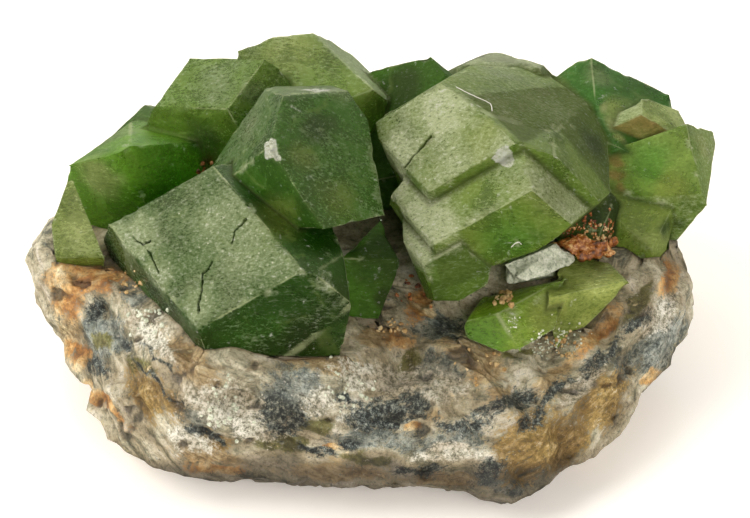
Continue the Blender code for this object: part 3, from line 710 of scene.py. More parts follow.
def blend_to(tints, mask, hex_text):
    """The tints moved towards a colour, by the mask's value at each point."""
    return tints + (np.array(colour(hex_text)) - tints) * mask[:, None]


print(sum(len(spots) for _, _, spots in CLOUDS_AND_PAINTED_LIGHT), "clouds,", len(CHIPS), "chips")

# %% Press the relief in and note what the finish needs


def by_face(members, here, amounts):
    """An amount for each point from a table of crystals and their faces."""
    table = np.zeros((len(members), MOST_PLANES))
    for index, name in enumerate(members):
        chosen = amounts.get(name, {})
        table[index] = chosen.get("all", 0.0)
        for number, (_, _, key) in enumerate(PLANES[name][0]):
            table[index, number] = chosen.get(key, table[index, number])
    return table[here["owner"], here["face"]]


def relief(ob, members, steps, wear):
    """Shapes a body's surface and stores tint, wear and painted light on its points."""
    p = read_points(ob)
    here = locate(p, members)
    owner, edge, seam = here["owner"], here["edge"], here["seam"]
    # Edges are rounded, some of them more.
    radius = 0.16 + 0.07 * noise(p, 1.6, 3) + wear * 0.2 * step01(noise(p, 0.9, 5), 0.25, 0.8)
    reach = 2 * np.clip(radius, 0.07, 0.45)
    bend = np.clip((reach - edge) / reach, 0, 1)
    sunk = bend ** 2 * reach / 4
    direction = here["normal"] * (1 - bend / 2)[:, None] + here["across"] * (bend / 2)[:, None]
    direction /= np.linalg.norm(direction, axis=1)[:, None]

    # Frost by face and by spot, which on the tilted tops is also a painted sheen, and the knocked
    # spots that get painted glints.
    frost_and_sheen, dull = by_face(members, here, FROST_AND_SHEEN), by_face(members, here, DULL)
    frost_and_sheen *= 1 + 0.5 * noise(p, 2.2, 29, 2)
    for *place, size, amount in FROST_AND_SHEEN_SPOTS:
        away = np.linalg.norm(p - place, axis=1) / size
        frost_and_sheen += amount * (1 - step01(away + 0.3 * noise(p, 0.7, 27, 2), 0.4, 1.1))
    wavy = p + 0.4 * wander(p, 1.1, 51, 2)
    bruised = np.zeros(len(p))
    for place in BRUISED:
        bruised = np.maximum(bruised, spot(wavy, *place))

    # Growth steps run round each face, over soft waves and a fine ripple.
    contour = edge + 0.55 * noise(p, 3.1, 11) + 0.22 * noise(p, 1.0, 12)
    ladder = sum(1 - step01(contour, level, level + 0.12) for level in (0.55, 1.15, 2.0, 2.9))
    gain = np.array([steps.get(m, 0.5) for m in members])[owner]
    sunk += gain * 0.03 * ladder + 0.035 * noise(p, 2.6, 21, 2)
    ripple = noise(p * (0.45, 1.0, 1.0), 0.42, 23, 2)
    sunk += (0.006 + 0.03 * np.clip(frost_and_sheen, 0, 1)) * ripple
    # Etch pits with ragged rims, and knocks along the edges.
    ragged = p + 0.16 * wander(p, 0.4, 55, 2)
    etched = step01(noise(p, 2.4, 31, 2), 0.2, 0.8)
    pit = np.maximum(0.6 * etched, bruised) * (1 - step01(pits(ragged, 0.55, 2), 0.12, 0.42))
    knock = (1 - step01(edge, 0.1, 0.45)) * (1 - step01(pits(ragged, 1.3, 4), 0.12, 0.32))
    sunk += 0.06 * pit + 0.10 * wear * knock
    frost_and_sheen += 0.5 * pit + 0.7 * knock + 0.45 * bruised
    white = 0.34 * bruised
    # Open cracks wander within their face, and chips leave bright scoops.
    crooked = 0.15 * wander(p, 0.7, 45, 2)
    crooked = p + crooked - (crooked * here["normal"]).sum(axis=1)[:, None] * here["normal"]
    away, deep = to_crack(crooked)
    open_crack = 1 - step01(away * (1 + 0.5 * noise(p, 0.4, 48)), 0.4, 1.4)
    sunk += deep * open_crack
    for *place, size, depth in CHIPS:
        away = np.linalg.norm(p - place, axis=1) / size * (1 + 0.5 * noise(p, 0.6, 41, 2))
        scoop = np.clip(1 - away ** 2, 0, 1)
        sunk += depth * scoop * (1 + 0.5 * noise(p, 0.3, 43))
        white = np.maximum(white, step01(scoop + 0.3 * noise(p, 0.25, 44), 0.05, 0.5))

    # Tints: each crystal's own, then clouds with their painted glows and shade, stains and cracks
    # over it.
    tints = np.array([colour(TINTS[m]) for m in members])[owner]
    for hex_text, strength, spots in CLOUDS_AND_PAINTED_LIGHT:
        for place in spots:
            tints = blend_to(tints, strength * spot(wavy, *place), hex_text)
    for (name, key), hex_text in STAINED.items():
        stain = by_face(members, here, {name: {key: 1.0}})
        tints = blend_to(tints, stain * (0.8 + 0.2 * noise(p, 0.5, 47, 2)), hex_text)
    tints = blend_to(tints, 0.75 * open_crack, "343e1c")
    frost_and_sheen, white = frost_and_sheen * (1 - open_crack), white * (1 - open_crack)
    # What the finish reads: rim, a painted highlight along the edges that is partly
    # rubbed wear, frost with its painted sheen, and seam, then white and dull.
    full = np.ones(len(p))
    # The rim is a painted highlight along the edges, partly rubbed wear.
    rim = (1 - step01(edge, 0.0, 0.16)) * np.clip(0.6 + 0.7 * noise(p, 1.2, 49, 2), 0, 1)
    finish = np.stack([rim, np.clip(frost_and_sheen, 0, 1), 1 - step01(seam, 0.0, 0.22), full], axis=1)
    surface = np.stack([np.clip(white, 0, 1), dull, 0 * full, full], axis=1)
    for label, values in (("tint", tints), ("finish", finish), ("surface", surface)):
        store(ob, label, values)
    write_points(ob, p - direction * sunk[:, None])
    ob.data.set_sharp_from_angle(angle=math.radians(42))
    print(ob.name, "relief up to %.2f mm deep" % sunk.max())


relief(left_body, LEFT, {"A": 0.3, "D": 1.2, "B": 0.3}, 1.0)
relief(right_body, RIGHT, {"H": 1.1, "H2": 1.1, "H3": 0.6}, 1.0)
relief(pair_body, ["M", "R"], {}, 1.2)
relief(small_body, ["F"], {}, 1.0)

# %% [markdown]
# ## Demantoid
# Demantoid is the green kind of andradite garnet, coloured by iron and a little
# chromium. It is glassy to adamantine: its refractive index is about 1.88.
# These crystals are cloudy, so part of the light comes back from just below
# the surface and part goes right through and is absorbed on the way. Red and
# above all blue are absorbed most, which leaves a strong green in the depths.

# %% Demantoid finish


def demantoid(name, through, density, frost_and_sheen_most, rough, frost_and_sheen_colour, sheen):
    """Cloudy green garnet. through is what light keeps inside; the fourth and sixth
    values are the strength and colour of the frost, which is partly a painted
    sheen; sheen is the colour of the face-on mirror light."""
    mat, tree = new_material(name)
    place = add_node(tree, "TexCoord").outputs["Object"]
    tint, finish, surface = (
        add_node(tree, "Attribute", {"attribute_name": label}).outputs["Color"]
        for label in ("tint", "finish", "surface"))
    part = add_node(tree, "SeparateColor", links={"Color": finish}).outputs
    knocked = add_node(tree, "SeparateColor", links={"Color": surface}).outputs

    # Clouds of 1 to 3 mm deep in the stone.
    clouds = add_node(tree, "TexNoise", {"Scale": 420.0, "Detail": 6.0, "Roughness": 0.52,
                                         "Distortion": 0.6}, {"Vector": place})
    # Grain of the skin, in specks of 0.1 to 0.3 mm, a little longer than high.
    grain_way = add_node(tree, "Mapping", {"Scale": (0.45, 1.0, 1.0)}, {"Vector": place})
    grain = add_node(tree, "TexNoise", {"Scale": 6400.0, "Detail": 6.0, "Roughness": 0.84,
                                        "Distortion": 0.3}, {"Vector": grain_way})
    # Clear parts are darker than clouded ones. Crust is frost with its painted sheen, chalk is a
    # knock.
    tones = {key: add_node(tree, "ValToRGB", {"stops": stops}, {"Fac": source})
             for key, source, stops in (
        ("depth", clouds, [(0.34, "b2bc9c"), (0.5, "dfe4d0"), (0.64, "ffffff")]),
        ("speckle", grain, [(0.36, "a6b296"), (0.50, "e4e8da"), (0.60, "ffffff")]),
        ("crust", grain, [(0.38, "6f8050"), (0.46, frost_and_sheen_colour), (0.54, frost_and_sheen_colour), (0.64, "fafcf0")]),
        ("chalk", grain, [(0.38, "a9b094"), (0.48, "eef0de"), (0.58, "ffffff")]))}
    look = tint
    for key in ("depth", "speckle"):
        look = add_node(tree, "Mix", {"data_type": "RGBA", "blend_type": "MULTIPLY", 0: 1.0},
                        {6: look, 7: tones[key]}).outputs[2]

    # Healed cracks: thin bright sheets a few mm apart, in the clouded parts.
    drift = add_node(tree, "TexNoise", {"Scale": 180.0, "Detail": 4.0}, {"Vector": place})
    bent = add_node(tree, "VectorMath", {"operation": "MULTIPLY_ADD", 1: (0.005,) * 3},
                    {0: drift.outputs[1], 2: place})
    gap = add_node(tree, "TexVoronoi", {"feature": "DISTANCE_TO_EDGE", "Scale": 260.0},
                   {"Vector": bent})
    thin = add_node(tree, "MapRange", {"From Min": 0.0, "From Max": 0.05, "To Min": 0.3,
                                       "To Max": 0.0}, {"Value": gap})
    patchy = add_node(tree, "MapRange", {"From Min": 0.5, "From Max": 0.62}, {"Value": clouds})
    # Dark etch pits, which only the frosted faces have.
    pits_here = add_node(tree, "MapRange", {"From Min": 0.34, "From Max": 0.41, "To Min": 0.3,
                                            "To Max": 0.0}, {"Value": grain})
    # Frost with its painted sheen, edges with their painted highlight, and knocks:
    # each a value from the mesh, weighed, plus the grain, so its border is ragged.
    weighed, wear = {}, {}
    for key, value, weight, low, high, most in (
            ("frost_and_sheen", part["Green"], 0.5, 0.58, 1.02, frost_and_sheen_most),
            ("edges", part["Red"], 1.4, 1.05, 1.75, 0.6),
            ("knocks", knocked["Red"], 0.9, 0.78, 1.08, 0.85)):
        weighed[key] = add_node(tree, "Math", {"operation": "MULTIPLY_ADD", 1: weight},
                                {0: value, 2: grain})
        wear[key] = add_node(tree, "MapRange", {"From Min": low, "From Max": high,
                                                "To Max": most}, {"Value": weighed[key]})
    # Painted glints: white dots of 0.05 mm, thickest on the frost and along the edges.
    dots = add_node(tree, "TexVoronoi", {"Scale": 4200.0, "Randomness": 1.0}, {"Vector": place})
    pick = add_node(tree, "SeparateColor", links={"Color": dots.outputs["Color"]}).outputs
    uneven = add_node(tree, "Math", {"operation": "MULTIPLY_ADD", 1: 0.22},
                      {0: pick[1], 2: dots.outputs["Distance"]})
    near = add_node(tree, "MapRange", {"From Min": 0.12, "From Max": 0.30, "To Min": 1.0,
                                       "To Max": 0.0}, {"Value": uneven})
    chance = weighed["frost_and_sheen"]
    for value, weight in ((knocked["Red"], 1.1), (wear["edges"], 0.6), (clouds, 1.3),
                          (pick[0], 0.35)):
        chance = add_node(tree, "Math", {"operation": "MULTIPLY_ADD", 1: weight},
                          {0: value, 2: chance})
    chosen = add_node(tree, "MapRange", {"From Min": 1.8, "From Max": 1.86}, {"Value": chance})

    sheets, pitted, dirt, painted_glints = (
        add_node(tree, "Math", {"operation": "MULTIPLY"}, {0: one, 1: other})
        for one, other in ((thin, patchy), (pits_here, part["Green"]), (part["Blue"], clouds),
                           (near, chosen)))
    # The layers from the inside out, each with its mask and its colour. The pale edge
    # colour is a painted highlight, partly rubbed wear, and the white dots are painted glints.
    for mask, over in ((sheets, "9db35c"), (wear["frost_and_sheen"], tones["crust"]), (pitted, "3c5222"),
                       (wear["edges"], "cdd8a4"), (wear["knocks"], tones["chalk"]),
                       (dirt, "2a2410"), (painted_glints, "f4f7e4")):
        flat = isinstance(over, str)
        look = add_node(tree, "Mix", {"data_type": "RGBA", 7: colour(over if flat else "ffffff")},
                        {0: mask, 6: look, **({} if flat else {7: over})}).outputs[2]

    rougher = add_node(tree, "MapRange", {"From Min": 0.3, "From Max": 0.8, "To Min": rough,
                                          "To Max": rough + 0.15}, {"Value": clouds})
    for value, weight in ((wear["frost_and_sheen"], 0.3), (knocked["Green"], 0.6), (part["Blue"], 0.4)):
        rougher = add_node(tree, "Math", {"operation": "MULTIPLY_ADD", 1: weight},
                           {0: value, 2: rougher})
    bump = add_node(tree, "Bump", {"Strength": 0.8, "Distance": 0.07 * MM}, {"Height": grain})
    shader = add_node(tree, "BsdfPrincipled",
                      {"IOR": 1.62, "Transmission Weight": 0.5, "Specular IOR Level": 0.25,
                       "Specular Tint": colour(sheen)},
                      {"Base Color": look, "Roughness": rougher, "Normal": bump})
    inside = add_node(tree, "VolumeAbsorption", {"Color": colour(through), "Density": density})
    add_node(tree, "OutputMaterial", links={"Surface": shader, "Volume": inside})
    return mat


deep = demantoid("deep green demantoid", "9ae600", 320.0, 0.9, 0.2, "b2c292", "eaffb0")
pale = demantoid("cloudy pale demantoid", "b4e63c", 200.0, 1.0, 0.22, "d2dcaa", "f0ffcc")
yellow = demantoid("yellow green demantoid", "d2ec50", 120.0, 0.5, 0.16, "c6cf98", "f4ffcc")


def dress(ob, mat, node):
    """Gives a piece its material, hangs it under the root body and hides the solid it replaces.
    """
    ob.data.materials.clear()
    ob.data.materials.append(mat)
    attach(ob, "root")
    if node:
        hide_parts(node)


dress(left_body, deep, "garnet_cluster")
dress(right_body, pale, "garnet_cluster")
dress(pair_body, yellow, "garnet_front_pair")
dress(small_body, yellow, "garnet_left_small")
print("garnet pieces dressed")

# %% [markdown]
# ## The rock
# The garnets grew on serpentinite, a soft rock pressed into thin bands. It is
# a mix of pale fibres, white calcite, blue-black streaks and rusty crusts. The
# bands dip to the right at the left end, run level in the middle and climb at
# the right end, and both the ledges and the colours follow them.

# %% A fine copy of the rock


def band_way(p):
    """Each point's place along, across and into the bands, in mm."""
    q = p + 0.5 * wander(p, 4.0, 61)
    across = q[:, 2] + 0.13 * q[:, 0] - 0.0275 * q[:, 0] ** 2 - 0.15 * q[:, 1]
    return np.stack([q[:, 0] - 0.5 * q[:, 2], across, q[:, 1]], axis=1)


def clearance(p):
    """Distance in mm from the nearest crystal, and the way out of it."""
    best = np.full(len(p), FAR)
    out = np.zeros((len(p), 3))
    for planes, centre in PLANES.values():
        s, n = outside(p, planes, centre)
        top = s.argmax(axis=1)
        far = s.max(axis=1)
        closer = far < best
        best[closer] = far[closer]
        out[closer] = n[top[closer]]
    return best, out


def rock_limit(p):
    """Longest edge wanted in mm: fine in front, coarser where less is seen."""
    wanted = np.full(len(p), 0.128)
    for here, longest in (
            ((p[:, 1] > -2) | (p[:, 2] < 1.0), 0.2),  # the top and the foot
            (p[:, 1] > 5, 0.32),  # the back
            (p[:, 2] < 0.08, 1.4),  # the flat underside
            (clearance(p)[0] < 0.32, 1.0)):  # the sockets under the crystals
        wanted[here] = longest
    return wanted


def fine_copy(node, name):
    """A merged copy of a solid's mesh in mm, as a new object."""
    bm = bmesh.new()
    bm.from_mesh(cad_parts[node].data)
    bmesh.ops.remove_doubles(bm, verts=bm.verts, dist=0.002 * MM)
    bmesh.ops.scale(bm, vec=(1 / MM,) * 3, verts=bm.verts)
    return mesh_object(name, bm)


rock = fine_copy("matrix_rock", "banded_rock")
refine(rock, rock_limit)

# %% [markdown]
# ## Stains and minerals in the rock
# Each kind of mineral lies in lens-shaped patches that follow the bands. They
# are laid out on the broken face as a geologist would sketch it: how far along,
# how high up the leaning face, half its length, half its width, and its tilt.
# The back gets the same minerals in mirrored order, which fades in round the
# ends, because the bands run right through the stone.

# %% Where the minerals lie
# along, up, half length, half width in mm, tilt in degrees.
RUSTY = [(-16.1, 4.2, 2.4, 1.0, 3), (-17.2, 3.0, 1.1, 0.9, 0), (-16.6, 0.4, 0.9, 0.6, -20),
         (-14.9, -2.4, 1.9, 0.35, -38), (-8.6, -5.8, 1.8, 0.35, -8), (-2.4, -4.7, 0.6, 0.25, 5),
         (1.3, 1.2, 0.9, 0.4, 0), (2.4, 3.1, 1.5, 0.8, 60), (12.2, 1.3, 1.9, 0.35, 42),
         (15.0, -1.0, 0.6, 0.3, 40), (1.9, -3.6, 0.4, 0.3, 0), (16.4, 4.6, 1.0, 0.6, 60)]
HONEY = [(-12.1, -1.8, 1.9, 1.0, -40), (8.4, -4.4, 2.7, 1.7, 35), (12.2, -2.4, 2.3, 1.2, 45),
         (-8.9, -4.2, 0.9, 0.35, -15), (10.2, -4.6, 1.6, 1.0, 40)]
TAN = [(-10.2, 0.0, 2.7, 0.8, -38), (0.1, 1.2, 1.3, 0.6, 0), (5.7, -0.1, 1.2, 1.3, 60),
       (4.2, 0.8, 1.6, 0.5, -20), (-2.6, -0.3, 2.4, 0.5, -4), (-16.9, 1.5, 0.7, 0.9, 0),
       (-2.0, -5.9, 3.0, 0.6, -3), (4.0, -6.3, 3.0, 0.4, -2), (-9.0, -5.2, 2.2, 0.4, -12),
       (9.6, -1.0, 2.0, 0.5, 40), (2.9, -2.8, 0.6, 0.4, 0), (6.6, -1.7, 1.0, 0.4, 20)]
WHITE = [(-12.5, 1.7, 1.3, 0.9, -45), (-11.5, 0.7, 0.9, 0.5, -40), (-8.1, -2.4, 2.3, 1.1, -15),
         (-6.6, -3.6, 1.4, 0.7, -10), (0.3, -0.9, 2.9, 0.7, -5), (-10.2, -4.2, 1.2, 0.5, -15),
         (15.8, 2.6, 1.6, 0.7, 60), (-3.2, -2.2, 0.9, 0.7, 0), (3.8, -5.0, 2.0, 0.4, 0),
         (-1.2, -3.2, 1.0, 0.5, 0), (3.6, -1.4, 1.2, 0.7, 20), (11.0, -1.4, 1.4, 0.4, 42)]
DARK = [(-5.0, -2.8, 1.3, 1.3, 0), (0.0, -3.0, 1.9, 0.9, 5), (2.0, -2.4, 0.9, 0.7, 0),
        (-1.6, -2.0, 1.1, 0.25, -5), (6.6, -2.4, 2.6, 0.5, 18), (4.3, -3.4, 1.3, 0.5, 0),
        (2.4, -5.9, 1.5, 0.3, -3), (6.0, -5.8, 1.0, 0.6, 30), (12.1, 0.0, 1.7, 0.5, 45),
        (8.3, -2.9, 1.1, 0.5, 35), (14.3, 1.9, 1.2, 0.5, 42), (-15.5, 2.6, 0.6, 1.0, 0),
        (-15.3, -0.4, 0.8, 0.5, -10), (-11.9, 0.3, 1.2, 0.15, -42), (-12.0, -0.9, 2.3, 0.12, -38),
        (-9.2, -3.9, 1.3, 0.3, -18), (-3.4, -4.7, 0.9, 0.3, 0), (-1.6, -4.4, 0.9, 0.25, -4),
        (3.9, 1.6, 0.9, 0.5, -20), (9.5, -1.6, 1.0, 0.35, 38), (-13.6, 0.9, 0.6, 0.3, -40)]
GREY = [(3.0, -0.8, 1.7, 1.2, 20), (2.8, 1.8, 1.3, 0.6, 0), (15.7, 0.7, 2.0, 1.2, 50),
        (-13.5, 3.7, 0.9, 0.6, -30), (-4.6, -1.6, 2.0, 1.2, 0), (3.5, -4.4, 2.6, 0.7, 0),
        (-15.0, 1.2, 1.1, 1.1, 0), (13.2, -1.0, 1.9, 0.5, 45), (6.8, -6.5, 1.8, 0.4, 0),
        (0.0, -4.2, 2.6, 0.5, 0), (-9.8, -2.9, 1.4, 0.4, -20), (16.6, -0.6, 1.6, 0.5, 55)]
OLIVE = [(-15.1, 1.0, 0.9, 0.6, -20), (-3.4, -3.6, 1.2, 0.4, 0), (1.7, -0.5, 1.0, 0.4, 60),
         (-5.1, -4.5, 1.6, 0.3, -5), (-12.9, -0.2, 0.9, 0.4, -30), (14.6, 3.3, 1.6, 0.5, 50),
         (-0.6, -5.2, 1.2, 0.3, 0), (7.8, 0.2, 1.0, 0.3, 10)]
LEAN = math.radians(38)
MIDDLE_Y = 1.2


def mineral(p, patches, seed):
    """1 in the middle of the patches, 0 away from them, with ragged borders."""
    q = p + 0.35 * wander(p, 1.1, seed, 2)
    back = step01(p[:, 1], MIDDLE_Y - 1.5, MIDDLE_Y + 1.5)
    folded = MIDDLE_Y - np.abs(q[:, 1] - MIDDLE_Y)
    up = q[:, 2] * math.cos(LEAN) + folded * math.sin(LEAN)
    total = np.zeros(len(p))
    for side, share in ((1, 1 - back), (-1, back)):
        for x, height, length, width, tilt in patches:
            dx, dy = side * q[:, 0] - x, up - height
            c, s = math.cos(math.radians(tilt)), math.sin(math.radians(tilt))
            r = np.hypot((dx * c + dy * s) / length, (dy * c - dx * s) / width)
            total = np.maximum(total, share * (1 - step01(r, 0.3, 1.6)))
    return total


MINERALS = {"rusty": RUSTY, "honey": HONEY, "dark": DARK, "white": WHITE,
            "tan": TAN, "grey": GREY, "olive": OLIVE}
print({name: len(patches) for name, patches in MINERALS.items()})

# %% [markdown]
# The relief goes from coarse to fine: broken lumps, thin ledges along the
# bands, fibres at the left, grain and pits. Last, the rock is drawn in to
# touch the crystals, because the solids keep a small clearance there.

# %% Rock relief
# Where the rock lies lower round the front pair: x, y, z, radius, how far in mm.
WORN_DOWN = [(7.0, -8.2, 5.2, 1.8, 0.55), (9.8, -6.6, 5.4, 1.9, 0.7), (12.2, -4.6, 6.0, 1.6, 0.5)]


def rock_relief(ob):
    """Shapes the rock and stores its minerals, bands and painted shade on the points."""
    p, n = read_points(ob), read_points(ob, "normal")
    for *place, radius, fall in WORN_DOWN:
        share = 1 - step01(np.linalg.norm(p - place, axis=1) / radius, 0.25, 1.0)
        p = p + np.array([0.0, 0.3, -0.95]) * (fall * share)[:, None]
    gap, out = clearance(p)
    way = band_way(p)
    zone = {name: mineral(p, patches, 71 + 4 * k)
            for k, (name, patches) in enumerate(MINERALS.items())}
    fibrous = np.maximum(zone["honey"], zone["tan"]) * step01(-p[:, 0], 5.0, 9.0)
    ledge = noise(way * (0.22, 1.0, 0.5), 0.9, 91, 2)
    fibre = noise(way * (0.12, 1.0, 0.6), 0.3, 93, 2)
    fine = noise(p, 0.5, 97, 2)
    rise = 0.15 * noise(p, 2.2, 95, 2) + 0.12 * ledge
    rise += (0.03 + 0.09 * fibrous) * fibre + 0.055 * fine
    rise += 0.11 * zone["rusty"] * (0.5 - pits(p, 0.7, 5))
    rise += 0.08 * zone["white"] * (0.5 - pits(p, 0.45, 6)) - 0.05 * zone["dark"]
    hole = step01(noise(p * (0.7, 1.0, 1.2), 1.1, 7, 3), 0.62, 0.95)
    rise -= 0.22 * hole
    rise *= step01(gap, 0.3, 0.9) * step01(p[:, 2], 0.0, 0.5)
    # Painted shade: the hollows, the pits and the rock next to the crystals are made darker.
    shade_and_dark_foot = np.clip(0.5 - 1.6 * (0.12 * ledge + 0.05 * fibre + 0.055 * fine) + 0.5 * hole, 0, 1)
    shade_and_dark_foot = np.maximum(shade_and_dark_foot, 0.85 * (1 - step01(gap, 0.25, 0.7)))
    # The lowest band, low on the leaning front, is made darker.
    up = p[:, 2] * math.cos(LEAN) + p[:, 1] * math.sin(LEAN)
    low = (1 - step01(up + 0.5 * noise(p, 1.6, 98, 2), -6.1, -3.9)) * step01(-p[:, 1], 0.0, 6.0)
    shade_and_dark_foot = np.maximum(shade_and_dark_foot, 0.92 * low)
    p = p + n * rise[:, None]
    reach = 1 - step01(gap, 0.34, 0.95 + 0.3 * noise(p, 0.8, 99))
    p = p - out * (0.37 * reach)[:, None]
    p[:, 2] = np.maximum(p[:, 2], 0.0)
    write_points(ob, p)
    values = np.stack([*zone.values(), shade_and_dark_foot], axis=1)
    store(ob, "minerals", values[:, :4])
    store(ob, "more_minerals", values[:, 4:])
    layer = ob.data.attributes.new("bands", "FLOAT_VECTOR", "POINT")
    layer.data.foreach_set("vector", way.ravel())
    print("rock relief from %.2f to %.2f mm" % (rise.min(), rise.max()))


rock_relief(rock)

# %% [markdown]
# The stone's finish is dull and gritty. Its pattern is read from the band
# coordinates stored on the points, so the streaks bend with the rock. Where two
# minerals meet, their grains mix: fine noise eats into the border of each
# patch, as the grains of a real rock do.

# %% Serpentinite finish
GRIT_BITE = 1.8


def serpentinite():
    """Dull banded stone whose minerals mix at their borders."""
    mat, tree = new_material("banded serpentinite")
    place = add_node(tree, "TexCoord").outputs["Object"]
    bands = add_node(tree, "Attribute", {"attribute_name": "bands"}).outputs["Vector"]
    first = add_node(tree, "Attribute", {"attribute_name": "minerals"}).outputs
    second = add_node(tree, "Attribute", {"attribute_name": "more_minerals"}).outputs
    zone = add_node(tree, "SeparateColor", links={0: first["Color"]}).outputs
    more = add_node(tree, "SeparateColor", links={0: second["Color"]}).outputs
    # Streaks of about 1 mm, fibres of 0.2 mm and mineral grains of 0.4 mm lie
    # along the bands. Grit of 0.2 mm and blotches of 1.4 mm lie anyhow.
    noises = {key: add_node(tree, "TexNoise", settings, {"Vector": way})
              for key, settings, way in (
        ("streaks", {"Scale": 1.0, "Detail": 8.0, "Roughness": 0.7, "Distortion": 0.5},
         add_node(tree, "Mapping", {"Scale": (0.25, 1.0, 0.5)}, {"Vector": bands})),
        ("fibres", {"Scale": 5.0, "Detail": 5.0, "Roughness": 0.7},
         add_node(tree, "Mapping", {"Scale": (0.09, 1.0, 0.5)}, {"Vector": bands})),
        ("grains", {"Scale": 2.6, "Detail": 7.0, "Roughness": 0.84, "Distortion": 0.3},
         add_node(tree, "Mapping", {"Scale": (0.6, 1.0, 0.8)}, {"Vector": bands})),
        ("grit", {"Scale": 4200.0, "Detail": 5.0, "Roughness": 0.85}, place),
        ("blotch", {"Scale": 700.0, "Detail": 7.0, "Roughness": 0.66}, place))}
    # Each mineral: its zone, what eats into its border and how strongly, then
    # the noise and the colours of its own look.
    minerals = (
        # streaky ground that the others lie in
        (None, None, 0.0, "streaks", [(0.34, "565a4e"), (0.42, "98967e"), (0.48, "c6c0a6"),
                                      (0.55, "e0dac2"), (0.66, "f6f2e6")]),
        # tan
        (more[0], "fibres", 2.6, "fibres", [(0.30, "6f5636"), (0.42, "ab9166"),
                                            (0.55, "d3bf94"), (0.70, "eddfc0")]),
        # grey
        (more[1], "grains", -3.6, "grains", [(0.38, "3c4645"), (0.47, "78837e"),
                                             (0.54, "b4bbb2"), (0.64, "eceee6")]),
        # olive
        (more[2], "blotch", 3.0, "grains", [(0.32, "4a4a26"), (0.48, "75743f"),
                                            (0.64, "a6a36c")]),
        # honey
        (zone[1], "fibres", 2.0, "fibres", [(0.28, "56421c"), (0.40, "8c7234"),
                                            (0.54, "b79a58"), (0.70, "dcc797")]),
        # white
        (first["Alpha"], "grains", -3.4, "grit", [(0.36, "8a8b78"), (0.46, "cbcab6"),
                                                  (0.56, "f6f4ea")]),
        # rusty
        (zone[0], "blotch", 2.4, "blotch", [(0.36, "8a5a28"), (0.45, "cc9450"),
                                            (0.53, "e8c080"), (0.64, "f8e8c0")]),
        # dark
        (zone[2], "grains", 4.6, "grit", [(0.38, "12181a"), (0.48, "283335"),
                                          (0.56, "6c7671"), (0.65, "bcc0b4")]))
    look = None
    for amount, eater, bite, pattern, stops in minerals:
        tone = add_node(tree, "ValToRGB", {"stops": stops}, {"Fac": noises[pattern]}).outputs[0]
        if look is None:
            look = tone
            continue
        eaten = amount
        for key, weight in ((eater, bite), ("grit", GRIT_BITE)):
            eaten = add_node(tree, "Math", {"operation": "MULTIPLY_ADD", 1: weight},
                             {0: noises[key], 2: eaten})
        # Both noises are about 0.5, so the border lies where the zone is 0.5.
        border = 0.5 * bite + 0.5 * GRIT_BITE + 0.5
        mask = add_node(tree, "MapRange", {"From Min": border - 0.14, "From Max": border + 0.2},
                        {"Value": eaten})
        look = add_node(tree, "Mix", {"data_type": "RGBA"},
                        {0: mask, 6: look, 7: tone}).outputs[2]
    # Grit darkens every mineral, and painted shade darkens the hollows, the rock next to the
    # crystals and the lowest band.
    for strength, source, stops in (
            (0.8, noises["grit"], [(0.34, "5c5a56"), (0.46, "d4d2cc"), (0.56, "ffffff")]),
            (0.85, second["Alpha"], [(0.35, "ffffff"), (0.62, "b9ad9a"), (0.9, "5c5040")])):
        tone = add_node(tree, "ValToRGB", {"stops": stops}, {"Fac": source})
        look = add_node(tree, "Mix", {"data_type": "RGBA", "blend_type": "MULTIPLY", 0: strength},
                        {6: look, 7: tone}).outputs[2]
    rough = add_node(tree, "MapRange", {"To Min": 0.5, "To Max": 0.85}, {"Value": noises["grit"]})
    bump = add_node(tree, "Bump", {"Strength": 0.8, "Distance": 0.08 * MM},
                    {"Height": noises["grit"]})
    shader = add_node(tree, "BsdfPrincipled", {"IOR": 1.55},
                      {"Base Color": look, "Roughness": rough, "Normal": bump})
    add_node(tree, "OutputMaterial", links={"Surface": shader})
    return mat


dress(rock, serpentinite(), "matrix_rock")
print("rock dressed")

# %% [markdown]
# ## Small minerals between the crystals
# A cleaved piece of white calcite sits where the stepped crystal meets the
# front pair, and red-brown limonite, which is rust in mineral form, fills the
# hollow behind it. Both keep the shape of their solids, which is split finely
# and roughened, because their look is all in the grain.

# %% Calcite and limonite


def roughen(ob, limit, size, depth, seed):
    """Splits a lump finely and covers it with grains of that size in mm."""
    refine(ob, lambda points: np.full(len(points), limit))
    p, n = read_points(ob), read_points(ob, "normal")
    rise = depth * (0.5 - pits(p, size, seed)) + 0.5 * depth * noise(p, size, seed, 2)
    write_points(ob, p + n * rise[:, None])


def grainy(name, scale, stops, rough, bump_mm):
    """A dull mineral: one noise gives both the colours and the bumps."""
    mat, tree = new_material(name)
    place = add_node(tree, "TexCoord").outputs["Object"]
    grain = add_node(tree, "TexNoise", {"Scale": scale, "Detail": 6.0, "Roughness": 0.78},
                     {"Vector": place})
    tone = add_node(tree, "ValToRGB", {"stops": stops}, {"Fac": grain})
    bump = add_node(tree, "Bump", {"Strength": 0.8, "Distance": bump_mm * MM}, {"Height": grain})
    shader = add_node(tree, "BsdfPrincipled", {"IOR": 1.6, "Roughness": rough},
                      {"Base Color": tone, "Normal": bump})
    add_node(tree, "OutputMaterial", links={"Surface": shader})
    return mat


calcite = grainy("speckled calcite", 4800.0,
                 [(0.36, "4e5846"), (0.41, "b0b8a2"), (0.50, "d2d8c2"), (0.62, "f2f4e8")],
                 0.5, 0.05)
limonite = grainy("limonite", 1500.0,
                  [(0.38, "2e160a"), (0.46, "7a4018"), (0.54, "b06a2c"), (0.62, "e6bf86")],
                  0.4, 0.08)
crumb_stone = grainy("iron stained crumbs", 1300.0,
                     [(0.34, "7b5a34"), (0.47, "b8935c"), (0.57, "d9bf8c"), (0.70, "efe3c4")],
                     0.7, 0.05)

